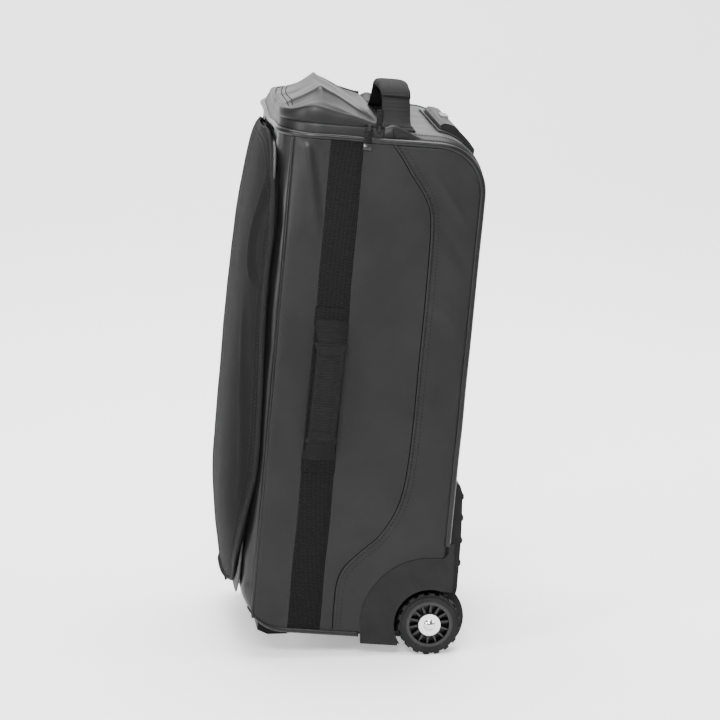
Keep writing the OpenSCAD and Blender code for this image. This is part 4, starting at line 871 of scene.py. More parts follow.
def wall(name, rows_, body, mat, slot, y_end=-109.0, thick=None, nodes=(), wob=0.0, seed=0.0, flip=True):
    """band round the outline; rows_ are (z, off) or functions of (x, y) giving them"""
    R_ = []
    for z, off in rows_:
        o = outline(0.0, y_end); x, y, nx, ny = o.T
        zz_ = z(x, y) if callable(z) else np.full(len(x), float(z)); of = off(x, y) if callable(off) else off
        t = np.r_[0, np.cumsum(np.hypot(np.diff(x), np.diff(y)))]
        of = of + wob * vn(t / 24 + seed, zz_ / 15, 2.0)
        R_.append(np.stack([x + nx * of, y + ny * of, zz_ - 4.5 * (1 - sm(0, 95, np.abs(x))) * (y < LF + 3) * sm(592, 580, zz_)], 1))
    o = grid(name, lean(np.array(R_)), body, mat, slot, flip=flip, thick=thick, off=-1.0)
    if nodes: drop_nodes(o, *nodes)
    return o
def line_at(z, off, y_end=-109.0):
    o = outline(0.0, y_end); x, y, nx, ny = o.T; zz_ = z(x, y) if callable(z) else np.full(len(x), float(z))
    return lean(np.stack([x + nx * off, y + ny * off, zz_], 1)), np.stack([nx, ny, 0 * nx], 1)

# body side: a short wall up to the zip
# the collar, lid, garages and shoulder band take the darkened tarpaulin copy: painted shade
wall("collar_wall", [(577.5, 1.0), (579, 1.6), (582, 1.5), (586, 1.2), (589.5, 1.0), (591.2, 0.8), (591.8, 0.2), (591.8, -1.2)], "body", T_lid, "tarpaulin", thick=1.4, nodes=("top_collar",), wob=0.35)
wall("collar_zip_tape", [(587.0, -1.4), (591.9, -1.3), (592.1, -0.6)], "body", ZIPT, "zip_tape", thick=0.7, nodes=("lid_zip_lower_tape",))
q, nq = line_at(589.0, 1.05); stitches("collar_stitches", [q], [nq], "body", THREAD, "webbing", length=1.9, gap=1.5, r=0.42)
q, nq = line_at(592.4, -0.4); coil("lid_zip_coil", q, (0, 0, 1), "body", w=3.0, pitch=2.0, r=0.5)

# lid side
ZS_P = cr([(-100, 593.6), (-110, 594.6), (-124, 598), (-140, 602), (-161, 606.5), (-180, 611), (-192, 613), (-201, 611.5), (-209, 608), (-218, 604.5), (-228, 603)], 6)
ZC_P = cr([(-100, 591.5), (-110, 592.2), (-118, 594.5), (-130, 600.5), (-145, 608.2), (-161, 616.6), (-172, 621.2), (-178, 624.2), (-181, 625.6), (-184, 624.2), (-189, 620.6), (-200, 613.6), (-211, 608.2), (-219, 605), (-228, 603)], 6)
def z_side(y): o_ = np.argsort(ZS_P[:, 0]); return np.interp(y, ZS_P[o_, 0], ZS_P[o_, 1])
def z_crest(y): o_ = np.argsort(ZC_P[:, 0]); return np.interp(y, ZC_P[o_, 0], ZC_P[o_, 1])
RX = 82.0
def far_sag(x, y): return 16.0 * sm(-58, -132, x) * sm(-138, -188, y)      # the far front corner hangs lower
def H(x, y):
    ax = np.abs(x); t = np.clip((ax - RX) / (148.0 - RX), 0, 1)
    z = z_crest(y) * (1 - t) + z_side(y) * t
    b = sm(-112, -135, y) * sm(-226, -212, y)
    z = z - 1.8 * np.sin(pi * t) * b * (t > 0)                                    # the corner facets sink a little
    z = z + 2.2 * np.exp(-((ax - RX) / 2.6) ** 2) * b                             # folded ridge
    z = z - 3.4 * (x > 0) * np.exp(-((ax - 138) / 5.5) ** 2) * b * (0.5 + 0.5 * sm(-185, -150, y))  # valley beside the side fold
    z = z - 1.6 * np.cos(pi * np.clip(x / RX, -1, 1) * 0.5) ** 2 * b * sm(-228, -190, y)   # the middle sags
    z = z + b * (1.2 * vn(x / 55 + 2, y / 60, 3.0) + 0.9 * ridge(vn((x + 0.6 * y) / 46, y / 110, 5.0)) ** 3 * (ax < RX) + 0.5 * vn(x / 18, y / 26, 7.0))
    z = z + 1.3 * np.exp(-((y + 205) / 14.0) ** 2) * vn(x / 17, 1.5, y / 30) * (ax < RX + 30)
    return np.maximum(z - far_sag(x, y), 594.2)
def z_wall(x, y):
    ax = np.abs(x); t = np.clip((ax - RX) / (LW - RX), 0, 1)
    return np.where(y < LF + 1.5, 602.8 - 7.2 * sm(-58, -132, x), np.maximum(z_side(y) - far_sag(x, y), 595.0)) + 0.4 * vn(x / 25, y / 25, 2.0)
zw = lambda k: (lambda x, y: 593.2 + (z_wall(x, y) - 593.2) * k)
wall("lid_wall", [(593.1, -1.2), (593.1, 0.3), (593.8, 1.0), (zw(0.2), 1.3), (zw(0.4), 1.4), (zw(0.6), 1.3), (zw(0.8), 0.9), (zw(0.93), 0.2), (zw(0.98), -1.2)], "lid", T_lid, "tarpaulin", thick=1.4, wob=0.5, seed=3.0)
wall("lid_zip_tape", [(597.0, -1.3), (593.2, -1.2), (593.0, -0.6)], "lid", ZIPT, "zip_tape", thick=0.7, nodes=("lid_zip_upper_tape",), flip=False)
q, nq = line_at(597.4, 1.45); q2, nq2 = line_at(595.0, 1.3)
stitches("lid_stitches", [q], [nq], "lid", THREAD, "webbing", length=1.9, gap=1.5, r=0.42)
# top sheet
us = np.r_[-1, -0.996, -0.985, np.linspace(-0.965, 0.965, 101), 0.985, 0.996, 1]
def y_out(x):
    ax = np.abs(x); c = LW - LCR
    return np.where(ax <= c, LF, LF + LCR - np.sqrt(np.maximum(LCR ** 2 - np.clip(ax - c, 0, LCR - 0.01) ** 2, 0)))
vs = np.r_[0, 0.01, np.linspace(0.03, 0.965, 60), 0.985, 0.996, 1.0]
X = np.broadcast_to((us * (LW + 0.4))[:, None], (len(us), len(vs))); YO = y_out(X * LW / (LW + 0.4)) - 0.4
Y = -109.5 + (YO + 109.5) * vs[None, :]
Z = H(X, Y)
ed = np.minimum(sm(0, 3.2, (LW + 0.4) - np.abs(X)), sm(0, 3.2, Y - YO))
Z = np.maximum(Z - 3.2 * (1 - ed) ** 2, 593.4)
P = lean(np.stack([X, Y, Z], -1))
lid = grid("lid_top", P, "lid", T_lid, "tarpaulin", flip=True, thick=1.6, off=-1.0)
drop_nodes(lid, "lid_panel")
# stitches of two seams across the front of the lid
xs = np.linspace(-104, 104, 90)
q = np.stack([xs, np.full_like(xs, -219.0), H(xs, np.full_like(xs, -219.0)) + 0.2], 1); q2 = q.copy(); q2[:, 1] = -214.0; q2[:, 2] = H(xs, q2[:, 1]) + 0.1
stitches("lid_front_stitches", [lean(q), lean(q2)], [(0, -0.4, 1), (0, -0.4, 1)], "lid", THREAD_D, "webbing", length=3.2, gap=1.0, r=0.6)
# cloth hinge behind the lid
rws = []
for x in np.linspace(-LW + 2, LW - 2, 60):
    pts = cr([(-114, 591.6 + 0.3 * vn(x / 20, 1.0)), (-109, 592.2), (-106, 591.2), (-103, 588.2), (-98, 587.4)], 4)
    rws.append(np.stack([np.full(len(pts), x), pts[:, 0], pts[:, 1]], 1))
o = grid("lid_hinge_cloth", np.array(rws), None, T_lid, "tarpaulin", flip=True, thick=1.0, off=0.0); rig.slot(o, "tarpaulin")
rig.blend(o, "body", "lid", start=Rp(0, -104, 590), end=Rp(0, -112, 592))

# ------------------------------------------------------------------ zip over the shoulder, garages and pulls
for s, sn in ((1, "right"), (-1, "left")):
    # the folded end of the collar behind the lid: a tapered patch
    yy = np.linspace(-112, -56, 26); rws = []
    for y in yy:
        t = (y + 112) / 56.0; h = (14.5 * (1 - sm(0.15, 1, t)) + 4.0) * (1 - 0.32 * (1 - sm(-112, -98, y))); x0 = LW + 1.5 - 3 * t
        rws.append(np.array([(s * (x0 + 0.2), y, 578.5), (s * (x0 + 1.2), y, 581), (s * (x0 + 1.0), y, 578.5 + h * 0.5), (s * (x0 + 0.2), y, 578.5 + h * 0.9), (s * (x0 - 1.6), y, 578.5 + h), (s * (x0 - 5), y, 578.5 + h * 0.98), (s * (x0 - 12), y, 581.0 + h * 0.45), (s * (x0 - 22), y, 584.6)]))
    o = grid("zip_garage_" + sn, np.array(rws), "body", T_lid, "tarpaulin", flip=(s < 0), thick=1.3, off=-1.0)
    if s > 0: drop_nodes(o, "zip_garages")
    t_ = np.linspace(0, 1, 14); q = np.stack([s * (LW + 2.9 - 0.4 * t_), -96 - 10 * (1 - t_) ** 2 * 0 - 3.2 * np.sin(pi * t_ * 0.5), 580.5 + 12 * t_], 1)
    sweep("garage_seam_" + sn, q, circ(0.55, 6), (s, 0, 0), "body", THREAD_D, "webbing")
    # the band with the zip that runs back over the shoulder
    path = [(y, 578.3, 90.0) for y in np.linspace(-72, -46, 10)] + [(BY - 55 + 52.5 * math.cos(math.radians(a)), ZS - 52 + 56.3 * math.sin(math.radians(a)), a) for a in np.linspace(90, 8, 44)]
    path = np.array(path); path[:, 1] += 1.6
    rws = []
    for y, z, a in path:
        n2 = np.array([math.cos(math.radians(a)), math.sin(math.radians(a))])
        rws.append(np.array([(s * (HW - 0.5), y - n2[0] * 1.0, z - n2[1] * 1.0), (s * (HW - 1.8), y + n2[0] * 1.6, z + n2[1] * 1.6), (s * (HW - 5), y + n2[0] * 4.0, z + n2[1] * 4.0), (s * (HW - 9), y + n2[0] * 6.0, z + n2[1] * 6.0), (s * (HW - 13.5), y + n2[0] * 7.2, z + n2[1] * 7.2), (s * (HW - 16), y + n2[0] * 6.6, z + n2[1] * 6.6)]))
    rws = np.array(rws)
    o = grid("shoulder_zip_" + sn, rws, "body", T_lid, "tarpaulin", flip=(s < 0), thick=1.0, off=-1.0)
    if s > 0: drop_nodes(o, "rear_zip")
    stitches("shoulder_stitches_" + sn, [rws[:, 1] * 0.7 + rws[:, 2] * 0.3, rws[:, 3] * 0.6 + rws[:, 4] * 0.4], [(s * 0.7, 0.3, 0.8)] * 2, "body", THREAD_D, "webbing", length=2.0, gap=1.5, r=0.4, lift=0.35)

# pulls: a folded loop of tape, the front one with a moulded end; shapes follow the CAD pulls' boxes
def loop_pull(name, body, y, w, z0, z1, node, end=None):
    """a flat doubled tape between heights z0 (hinge) and z1, outside the slider's bail"""
    x = HW + 5.1; sg = 1 if z1 > z0 else -1; L_ = abs(z1 - z0)
    # outer leg up, round the end, inner leg back
    pts = cr([(x - 0.5, 0.6), (x + 0.2, 0.18 * L_), (x + 0.5, 0.5 * L_), (x + 0.25, 0.85 * L_), (x - 0.1, L_ - 0.6), (x - 0.75, L_ - 0.8), (x - 0.9, 0.8 * L_), (x - 1.0, 0.5 * L_), (x - 0.9, 0.2 * L_), (x - 0.9, 1.4)], 5)
    P_ = np.stack([pts[:, 0], np.full(len(pts), y), z0 + sg * pts[:, 1]], 1)
    o = sweep(name, P_, np.array([(-w / 2, -0.3), (-w / 2 - 0.1, 0), (-w / 2, 0.3), (w / 2, 0.3), (w / 2 + 0.1, 0), (w / 2, -0.3)]), (0, 1, 0), body, WEB2, "webbing")
    drop_nodes(o, node); return o
loop_pull("zip_pull_tape_front", "zip_pull_front", -128, 9, 592.5, 572.5, "zip_pull_front")
q = rrect(10.4, 7.6, 1.2, 3)
V = []; n_ = len(q)
for x, k in ((HW + 3.3, 0.9), (HW + 3.8, 1.0), (HW + 6.3, 1.0), (HW + 6.8, 0.9)): V += [(x, -128 + a * k, 570.0 + b * k) for a, b in q]
F = [tuple(range(n_)), tuple(range(3 * n_, 4 * n_))[::-1]] + [(k * n_ + j, (k + 1) * n_ + j, (k + 1) * n_ + (j + 1) % n_, k * n_ + (j + 1) % n_) for k in range(3) for j in range(n_)]
mesh("zip_pull_clip", V, F, "zip_pull_front", PLAS_G, "zip_metal")
loop_pull("zip_pull_tape_rear", "zip_pull_rear", -116.4, 7.4, 591.7, 614.8, "zip_pull_rear")

# ------------------------------------------------------------------ side handles
def lerp_prof(keys, t):
    """profiles given at a few t, interpolated"""
    ts = [k for k, _ in keys]; Ps = np.array([p for _, p in keys], float)
    out = np.zeros((len(t),) + Ps.shape[1:])
    for i in range(Ps.shape[1]):
        for c in range(2): out[:, i, c] = np.interp(t, ts, Ps[:, i, c])
    return out
HLO, HHI = nbox("side_handle_right")[0][2], nbox("side_handle_right")[1][2]
for s, sn in ((1, "right"), (-1, "left")):
    zc = (HLO + HHI) / 2; Lh = (HHI - HLO) / 2
    # the strap itself: lies on the bag at both ends, bows out between them
    zz = np.linspace(-Lh - 1, Lh + 1, 90); k = np.clip((Lh - np.abs(zz)) / 34.0, 0, 1)
    out_ = 3.4 + 15.5 * (k * k * (3 - 2 * k)); out_ = out_ + 1.2 * np.cos(zz / Lh * pi / 2) * k
    P_ = np.stack([s * (HW + out_), np.full(len(zz), -151.0) + 0.8 * np.sin(zz / 40), zc + zz], 1)
    wv = 20 - 3.4 * sm(0.1, 0.9, k)
    pr = np.array([[(-w, 0), (-w + 0.6, 1.1), (-w * 0.5, 1.4), (0, 1.5), (w * 0.5, 1.4), (w - 0.6, 1.1), (w, 0), (w - 0.6, -1.0), (0, -1.2), (-w + 0.6, -1.0)] for w in wv])
    strap_ = sweep("side_handle_strap_" + sn, P_, pr, (0, 1, 0), None, WEB2, "webbing", caps=True)
    # the sewn grip: a second layer folded round the strap, thicker along its two edges, boxed at the ends
    zz = np.linspace(-Lh + 27, Lh - 27, 80); k = np.clip((Lh - np.abs(zz)) / 34.0, 0, 1)
    out_ = 3.4 + 15.5 * (k * k * (3 - 2 * k)) + 1.2 * np.cos(zz / Lh * pi / 2) * k
    P_ = np.stack([s * (HW + out_ + 0.6), np.full(len(zz), -151.0) + 0.8 * np.sin(zz / 40), zc + zz], 1)
    e_k = np.clip((Lh - 27 - np.abs(zz)) / 16.0, 0, 1); ff = sm(0, 0.6, e_k)
    pr = []
    for i, f in enumerate(ff):
        w = 20.0 - 3.2 * f; h = 2.2 + 0.3 * f; ek = 1.5 * f + 0.25 * vn(zz[i] / 9.0, 3.0) * f
        c_ = sm(0, 0.12, e_k[i]) * 0.5 + 0.5
        pr.append([(-w, 0), (-w - 0.1, h * 0.7 * c_), (-w + 1.4, (h + ek) * c_), (-w + 4.2, (h + ek * 0.9) * c_), (-w + 7.0, h * c_), (0, (h - 0.1) * c_), (w - 7.0, h * c_), (w - 4.2, (h + ek * 0.9) * c_), (w - 1.4, (h + ek) * c_), (w + 0.1, h * 0.7 * c_), (w, 0), (w - 0.4, -1.6 * c_), (w - 3, -2.4 * c_), (0, -2.3 * c_), (-w + 3, -2.4 * c_), (-w + 0.4, -1.6 * c_)])
    pr = np.array(pr)
    grip = sweep("side_handle_grip_" + sn, P_, pr, (0, 1, 0), None, WEB2, "webbing")
    if s < 0:
        pass
    # box stitches at the two ends of the grip and along its edges
    def gp(y, z, lift=2.6):
        kk = np.clip((Lh - np.abs(z)) / 34.0, 0, 1); oo = 3.4 + 15.5 * (kk * kk * (3 - 2 * kk)) + 1.2 * np.cos(z / Lh * pi / 2) * kk + 0.6
        return np.stack([s * (HW + oo + lift), -151.0 + y + 0.8 * np.sin(z / 40), zc + z], 1)
    rw = []
    for sg in (1, -1):
        a, b_ = sg * (Lh - 29), sg * (Lh - 42)
        for yy in (-14.0, 14.0): z_ = np.linspace(a, b_, 10); rw.append(gp(np.full(10, yy), z_))
        for zv in (a, b_): y_ = np.linspace(-14, 14, 16); rw.append(gp(y_, np.full(16, zv)))
    for yy in (-9.0, 9.0): z_ = np.linspace(-Lh + 42, Lh - 42, 60); rw.append(gp(np.full(60, yy), z_, 2.45))
    st_ = stitches("side_handle_stitches_" + sn, rw, [(s, 0, 0)] * len(rw), None, THREAD_D, "webbing", length=2.8, gap=1.3, r=0.4)
    for o in (strap_, grip, st_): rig.slot(o, "webbing")
    for o in (strap_, grip, st_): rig.blend(o, "body", "side_handle_" + sn, start=Rp(s * (HW + 2.8), -151, zc), end=Rp(s * (HW + 13), -151, zc))
    drop_nodes(strap_, "side_handle_" + sn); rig.padded(grip, 0.7)
    # sewn-down ends on the bag
    for z0, z1, nm in ((HLO - 13, HLO + 10, "lower"), (HHI - 10, HHI + 13, "upper")):
        L_ = rrect(40.5, z1 - z0, 2.0, 3); V = []; n_ = len(L_)
        for f, h in ((1.0, 1.4), (1.0, 2.3), (0.985, 2.75), (0.5, 2.8)):
            V += [(s * (HW + float(relief(-151, (z0 + z1) / 2)) + h), -151 + a * f, (z0 + z1) / 2 + b * f) for a, b in L_]
        F = [tuple(range(3 * n_, 4 * n_))] + [(k * n_ + j, (k + 1) * n_ + j, (k + 1) * n_ + (j + 1) % n_, k * n_ + (j + 1) % n_) for k in range(3) for j in range(n_)]
        o = mesh("side_handle_tack_%s_%s" % (nm, sn), V, F, "body", WEB, "webbing", uv=np.array([(v[2], v[1]) for v in V]))
        bm = bmesh.new(); bm.from_mesh(o.data); bmesh.ops.recalc_face_normals(bm, faces=bm.faces); bm.to_mesh(o.data); bm.free()

# ------------------------------------------------------------------ top handle
TB = nbox("top_handle_strap"); TG = nbox("top_handle_grip")
hy = -87.0
pts = cr([(-97, 587.9), (-90, 588.4), (-80, 590.5), (-70, 596.5), (-61, 606), (-53, 615), (-45, 621.0), (-30, 624.6), (0, 626.2), (30, 624.6), (45, 621.0), (53, 615), (61, 606), (70, 596.5), (80, 590.5), (90, 588.4), (97, 587.9)], 6)
t = np.linspace(-1, 1, len(pts))
P_ = np.stack([pts[:, 0], np.full(len(pts), hy), pts[:, 1]], 1)
w = 17.0 + 1.5 * sm(0.75, 1.0, np.abs(t))
pr = np.array([[(-a, 0), (-a + 0.6, 1.1), (0, 1.3), (a - 0.6, 1.1), (a, 0), (a - 0.6, -1.0), (0, -1.2), (-a + 0.6, -1.0)] for a in w])
strap_t = sweep("top_handle_band", P_, pr, (0, 1, 0), None, WEB2, "webbing"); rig.slot(strap_t, "webbing")
# grip: the band folded over into a padded roll, wider than the hand, creased at its two ends
m_ = np.abs(pts[:, 0]) <= 52; gpts = resample(P_[m_], 2.0); gx = gpts[:, 0] / 52.0
pr = []
for i, g in enumerate(gx):
    f = 1 - 0.30 * np.abs(g) ** 6; a = 18.2 - 1.2 * np.abs(g) ** 2 + 0.5 * vn(g * 5, 2.0); h = (5.4 - 1.4 * np.abs(g) ** 3) * f
    pr.append([(-a, -1.0), (-a - 0.6, 0.8), (-a + 0.6, h * 0.66), (-a + 4.5, h * 0.98), (-a * 0.35, h), (a * 0.3, h * 1.02), (a - 4.5, h), (a - 0.4, h * 0.7), (a + 0.7, 0.6), (a + 0.2, -3.2), (a - 2.5, -5.6), (a * 0.45, -5.4), (a * 0.28, -3.0), (-a * 0.2, -2.6), (-a * 0.45, -4.9), (-a + 2.5, -5.2), (-a + 0.1, -3.2)])
gr_t = sweep("top_handle_grip_pad", gpts, np.array(pr), (0, 1, 0), None, WEB2, "webbing"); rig.slot(gr_t, "webbing"); subsurf(gr_t, 1)
rw = []
for sg in (-1, 1):
    for xx in (46, 40):
        y_ = np.linspace(-15, 15, 14); z_ = np.interp(sg * xx, gpts[:, 0], gpts[:, 2]) + 3.6
        rw.append(np.stack([np.full(14, sg * xx), hy + y_, np.full(14, z_)], 1))
st_t = stitches("top_handle_stitches", rw, [(0, 0, 1)] * len(rw), None, THREAD_D, "webbing", length=2.6, gap=1.2, r=0.4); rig.slot(st_t, "webbing")
for o in (strap_t, gr_t, st_t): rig.blend(o, "body", "top_handle", start=Rp(0, -85, 588.6), end=Rp(0, -85, 600))
drop_nodes(strap_t, "top_handle_strap"); drop_nodes(gr_t, "top_handle_grip"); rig.padded(gr_t, 0.8)
# sewn feet of the top handle on the deck
for s, sn in ((1, "right"), (-1, "left")):
    V = []; L_ = rrect(40, 37, 2.5, 3); n_ = len(L_)
    for f, h in ((1.0, 0.0), (1.0, 1.3), (0.985, 1.9), (0.5, 2.0)): V += [(s * 101 + a * f, hy + b * f, 586.3 + h) for a, b in L_]
    F = [tuple(range(3 * n_, 4 * n_))] + [(k * n_ + j, (k + 1) * n_ + j, (k + 1) * n_ + (j + 1) % n_, k * n_ + (j + 1) % n_) for k in range(3) for j in range(n_)]
    o = mesh("top_handle_foot_" + sn, V, F, "body", WEB, "webbing", uv=np.array([(v[0], v[1]) for v in V]))
    bm = bmesh.new(); bm.from_mesh(o.data); bmesh.ops.recalc_face_normals(bm, faces=bm.faces); bm.to_mesh(o.data); bm.free()
    rw = [np.stack([s * 101 + np.linspace(-17, 17, 16), np.full(16, hy + b), np.full(16, 588.35)], 1) for b in (-15.5, 15.5)] + [np.stack([np.full(16, s * 101 + b), hy + np.linspace(-15.5, 15.5, 16), np.full(16, 588.35)], 1) for b in (-17, 17)]
    rw += [np.stack([s * 101 + np.linspace(-17, 17, 16), hy + g * np.linspace(-15.5, 15.5, 16), np.full(16, 588.35)], 1) for g in (1, -1)]
    stitches("top_handle_foot_stitches_" + sn, rw, [(0, 0, 1)] * len(rw), "body", THREAD_D, "webbing", length=2.6, gap=1.3, r=0.4)

# ------------------------------------------------------------------ inside: padded cup, divider, shelf, covered boards
def pad(name, node, body, mat, slot, grow=-1.0, crown=2.0, cell=9.0, cut_fn=None, fill=0.6):
    """a padded board: rounded box made from the CAD node's own box, crowned between its edges"""
    lo, hi = nbox(node); c = (lo + hi) / 2; h = (hi - lo) / 2 + grow * np.array([1, 1, 0.0])
    nx = int(max(6, 2 * h[0] / cell)); ny = int(max(6, 2 * h[1] / cell))
    V = []; F = []
    U = np.linspace(-1, 1, nx + 1); W = np.linspace(-1, 1, ny + 1)
    top = {}; bot = {}
    for i, u in enumerate(U):
        for j, w_ in enumerate(W):
            e = (1 - abs(u) ** 8) * (1 - abs(w_) ** 8)
            th = h[2] * (0.45 + 0.55 * e ** 0.5) if 0 < i < nx and 0 < j < ny else h[2] * 0.45
            x = c[0] + u * h[0]; y = c[1] + w_ * h[1]
            q = crown * 0.12 * vn(x / 50, y / 50, c[2])
            top[i, j] = len(V); V.append((x, y, c[2] + th + q * e))
            bot[i, j] = len(V); V.append((x, y, c[2] - th))
    for i in range(nx):
        for j in range(ny):
            F.append((top[i, j], top[i + 1, j], top[i + 1, j + 1], top[i, j + 1])); F.append((bot[i, j], bot[i, j + 1], bot[i + 1, j + 1], bot[i + 1, j]))
    for i in range(nx): F.append((top[i, 0], bot[i, 0], bot[i + 1, 0], top[i + 1, 0])); F.append((top[i, ny], top[i + 1, ny], bot[i + 1, ny], bot[i, ny]))
    for j in range(ny): F.append((top[0, j], top[0, j + 1], bot[0, j + 1], bot[0, j])); F.append((top[nx, j], bot[nx, j], bot[nx, j + 1], top[nx, j + 1]))
    o = mesh(name, V, F, body, mat, slot)
    bm = bmesh.new(); bm.from_mesh(o.data); bmesh.ops.recalc_face_normals(bm, faces=bm.faces); bm.to_mesh(o.data); bm.free()
    subsurf(o, 1); drop_nodes(o, node)
    if fill is not None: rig.padded(o, fill)
    return o
# the upper ball's divider keeps its dished seat: taken from the CAD's own surface, softened
def softened(name, node, body, mat, slot, r=1.5, fill=0.6, noise=0.25):
    src = frame["nodes"][node]; me = src.data.copy(); me.transform(src.matrix_world); me.name = name
    me.materials.clear()
    o = bpy.data.objects.new(name, me); bpy.context.scene.collection.objects.link(o); me.materials.append(mat)
    bm = bmesh.new(); bm.from_mesh(me); bmesh.ops.remove_doubles(bm, verts=bm.verts, dist=1e-5); bmesh.ops.dissolve_limit(bm, angle_limit=0.02, verts=bm.verts, edges=bm.edges); bm.to_mesh(me); bm.free()
    md = o.modifiers.new("r", "REMESH"); md.mode = "VOXEL"; md.voxel_size = 0.0032; apply(o)
    md = o.modifiers.new("s", "SMOOTH"); md.factor = 0.6; md.iterations = 6; apply(o)
    co_ = np.array([v.co for v in o.data.vertices], float); no_ = np.array([v.normal for v in o.data.vertices], float); b_ = inv(co_)
    co_ += no_ * (noise * vn(b_[:, 0] / 26, b_[:, 1] / 26, b_[:, 2] / 26) / 1000.0)[:, None]
    o.data.vertices.foreach_set("co", co_.ravel()); o.data.polygons.foreach_set("use_smooth", [True] * len(o.data.polygons))
    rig.ride(o, body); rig.slot(o, slot); drop_nodes(o, node)
    if fill is not None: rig.padded(o, fill)
    return o
softened("ball_cup_pad", "ball_cup_lower", "body", FOAM, "foam")
softened("ball_divider_pad", "ball_divider", "body", FOAM, "foam")
pad("shoe_shelf_pad", "shoe_shelf", "body", FOAM, "foam")
for n in ("base_board", "back_board"):
    pad(n + "_covered", n, "body", BOARD, "board", grow=-0.2, crown=0.0, fill=None)

# ------------------------------------------------------------------ cloth declarations: the size each panel was cut to
def cloth(name, w, l, held, on, cut=None):
    """declares one sewn sheet, w by l metres as cut; cut is the flat area left where corners or openings are cut away"""
    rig.sheet(bpy.data.objects[name], flat=(w, l), held=held, rests_on=on, area=cut)
def rounded(w, l, r1, r2=0.0): return w * l - 2 * (1 - pi / 4) * (r1 ** 2 + r2 ** 2)
BW = 2 * HW / 1000.0; arc_f = FR * pi / 2 / 1000.0
hf = (ZS + 2.5 - BZ - FR) / 1000.0; lb = (-8 - FY - FR) / 1000.0
cloth("front_cover", 0.305, 0.558, "hung", ["door_inner_panel"], rounded(0.305, 0.558, 0.102, 0.108))
cloth("lid_top", 2 * LW / 1000.0, 0.128, "stretched", ["lid_wall"], rounded(2 * LW / 1000.0, 0.124, 0.044))
cloth("front_and_bottom_tarp", BW, hf + arc_f + lb, "stretched", ["edge_welt_right", "edge_welt_left"], BW * (hf + arc_f + lb) - 0.239 * 0.522)
cloth("cover_gusset_right", 0.027, 0.545, "hung", ["front_cover"]); cloth("cover_gusset_left", 0.027, 0.545, "hung", ["front_cover"])
cloth("door_inner_panel", 0.25, 0.54, "stretched", ["door_zip_tape_body"])
Lb = (BY - 1 - SEAM_Y) / 1000.0; Hb = (ZS - BZ) / 1000.0
zo = np.linspace(BZ, ZS, 300); oa = float(np.mean(y_back(zo) - seam_y(zo))) / 1000.0 * Hb - 0.25 * pi * (ARCH / 1000.0) ** 2
for sn in ("right", "left"):
    cloth("side_tarp_" + sn, Lb, Hb, "stretched", ["edge_welt_" + sn], float(np.mean(y_back(zo) - y_front(zo))) / 1000.0 * Hb - 0.25 * pi * (ARCH / 1000.0) ** 2)
    cloth("overlay_" + sn, float((BY - 1 - seam_y(zo)).max()) / 1000.0, Hb, "stretched", ["side_tarp_" + sn], oa)
wb = 0.0
cloth("back_and_deck_tarp", BW, 0.70, "stretched", ["edge_welt_right", "edge_welt_left"], 0.70 * BW - 0.03)
print("FLATS", round(BW, 4), round(hf + arc_f + lb, 4), round(Lb, 4), round(Hb, 4), round(oa, 5), 2 * LW, HW, BY, FY, BZ, ZS)

# ------------------------------------------------------------------ floor, lights, camera
def stage_mat(name, v, rough, em=0.42):
    m = M(name); m.color(m.ramp(m.noise(3, 2, 0.5), [(0.3, (v * 0.985, v * 0.985, v * 0.985, 1)), (0.7, (v, v, v, 1))])); m.rough(m.rng(m.noise(8, 2, 0.5), rough - 0.03, rough + 0.03)); m.set(Specular_IOR_Level=0.2)
    m.p.inputs["Emission Color"].default_value = (1, 1, 1, 1); m.p.inputs["Emission Strength"].default_value = em
    return m.m
FLOORM = stage_mat("studio_floor", 0.93, 0.6)
me = bpy.data.meshes.new("floor"); V = []; F = []
prof = [(9.0, 0.0), (-3.0, 0.0)] + [(-3.0 - 1.5 * math.sin(math.radians(a)), 1.5 - 1.5 * math.cos(math.radians(a))) for a in range(10, 91, 10)] + [(-4.5, 4.5)]
for x, z in prof: V += [(x, -9.0, z), (x, 9.0, z)]
F = [(2 * i, 2 * i + 1, 2 * i + 3, 2 * i + 2) for i in range(len(prof) - 1)]
me.from_pydata(V, [], F); fl = bpy.data.objects.new("floor", me); bpy.context.scene.collection.objects.link(fl); me.materials.append(FLOORM)
me.polygons.foreach_set("use_smooth", [True] * len(me.polygons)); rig.stage(fl)

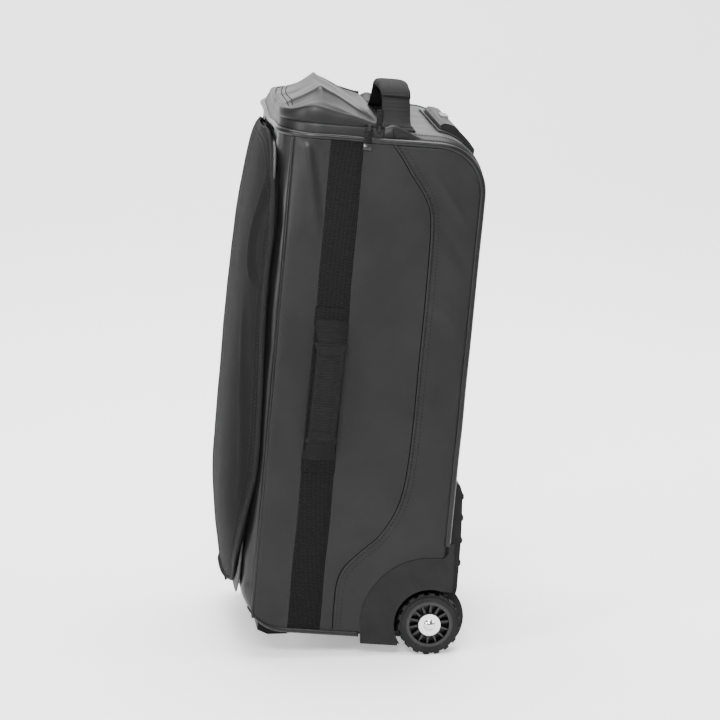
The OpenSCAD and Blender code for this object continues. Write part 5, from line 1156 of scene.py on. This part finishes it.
w = bpy.data.worlds.new("studio"); bpy.context.scene.world = w; w.use_nodes = True
w.node_tree.nodes["Background"].inputs["Color"].default_value = (0.97, 0.985, 1.0, 1); w.node_tree.nodes["Background"].inputs["Strength"].default_value = 0.30
def light(name, loc, target, size, energy, size_y=None, color=(1, 1, 1)):
    l = bpy.data.lights.new(name, "AREA"); l.energy = energy; l.size = size; l.color = color
    if size_y: l.shape = "RECTANGLE"; l.size_y = size_y
    o = bpy.data.objects.new(name, l); bpy.context.scene.collection.objects.link(o); o.location = loc
    o.rotation_euler = (Vector(target) - Vector(loc)).to_track_quat("-Z", "Y").to_euler(); return o
mid = (0.0, AX[1] - 0.05, 0.32)
light("key_overhead", (0.15, AX[1] + 0.02, 2.3), (0, AX[1] + 0.02, 0.3), 1.5, 62, 1.5)
light("soft_front_left", (1.5, -2.1, 1.15), mid, 0.6, 62, 1.2)
light("soft_right", (0.5, 2.4, 1.4), mid, 0.8, 26, 1.5)
light("fill_camera_side", (3.2, -1.0, 2.6), mid, 1.4, 18, 1.2)
light("upper_front", (1.5, AX[1] - 0.35, 1.25), (0.15, AX[1], 0.6), 0.7, 9, 0.5).data.spread = math.radians(80)
light("backdrop_wash", (-1.4, AX[1], 3.4), (-3.6, AX[1], 0.4), 2.6, 290, 3.2)

e_, a_, D_, S_ = math.radians(12.0), math.radians(6.0), 4.2, 0.0012
f_ = np.array([-math.cos(e_) * math.cos(a_), math.cos(e_) * math.sin(a_), -math.sin(e_)]); r_ = np.array([math.sin(a_), math.cos(a_), 0.0]); u_ = np.cross(r_, f_)
Pw = np.array([0.152, AX[1], AX[2]])
C_ = Pw - D_ * f_ - (429 - 360) * S_ * r_ - (360 - 624) * S_ * u_
cam = bpy.data.cameras.new("camera"); cam.sensor_width = 36.0; cam.lens = 175.0; cam.clip_end = 60.0
co = bpy.data.objects.new("camera", cam); bpy.context.scene.collection.objects.link(co); bpy.context.scene.camera = co
co.matrix_world = Matrix(((r_[0], u_[0], -f_[0], C_[0]), (r_[1], u_[1], -f_[1], C_[1]), (r_[2], u_[2], -f_[2], C_[2]), (0, 0, 0, 1)))

# ------------------------------------------------------------------ sizes
new_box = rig.bounds()
with open("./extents.json", "w") as fh: json.dump({"cad": [list(map(float, p)) for p in cad_box], "visual": [list(map(float, p)) for p in new_box]}, fh)
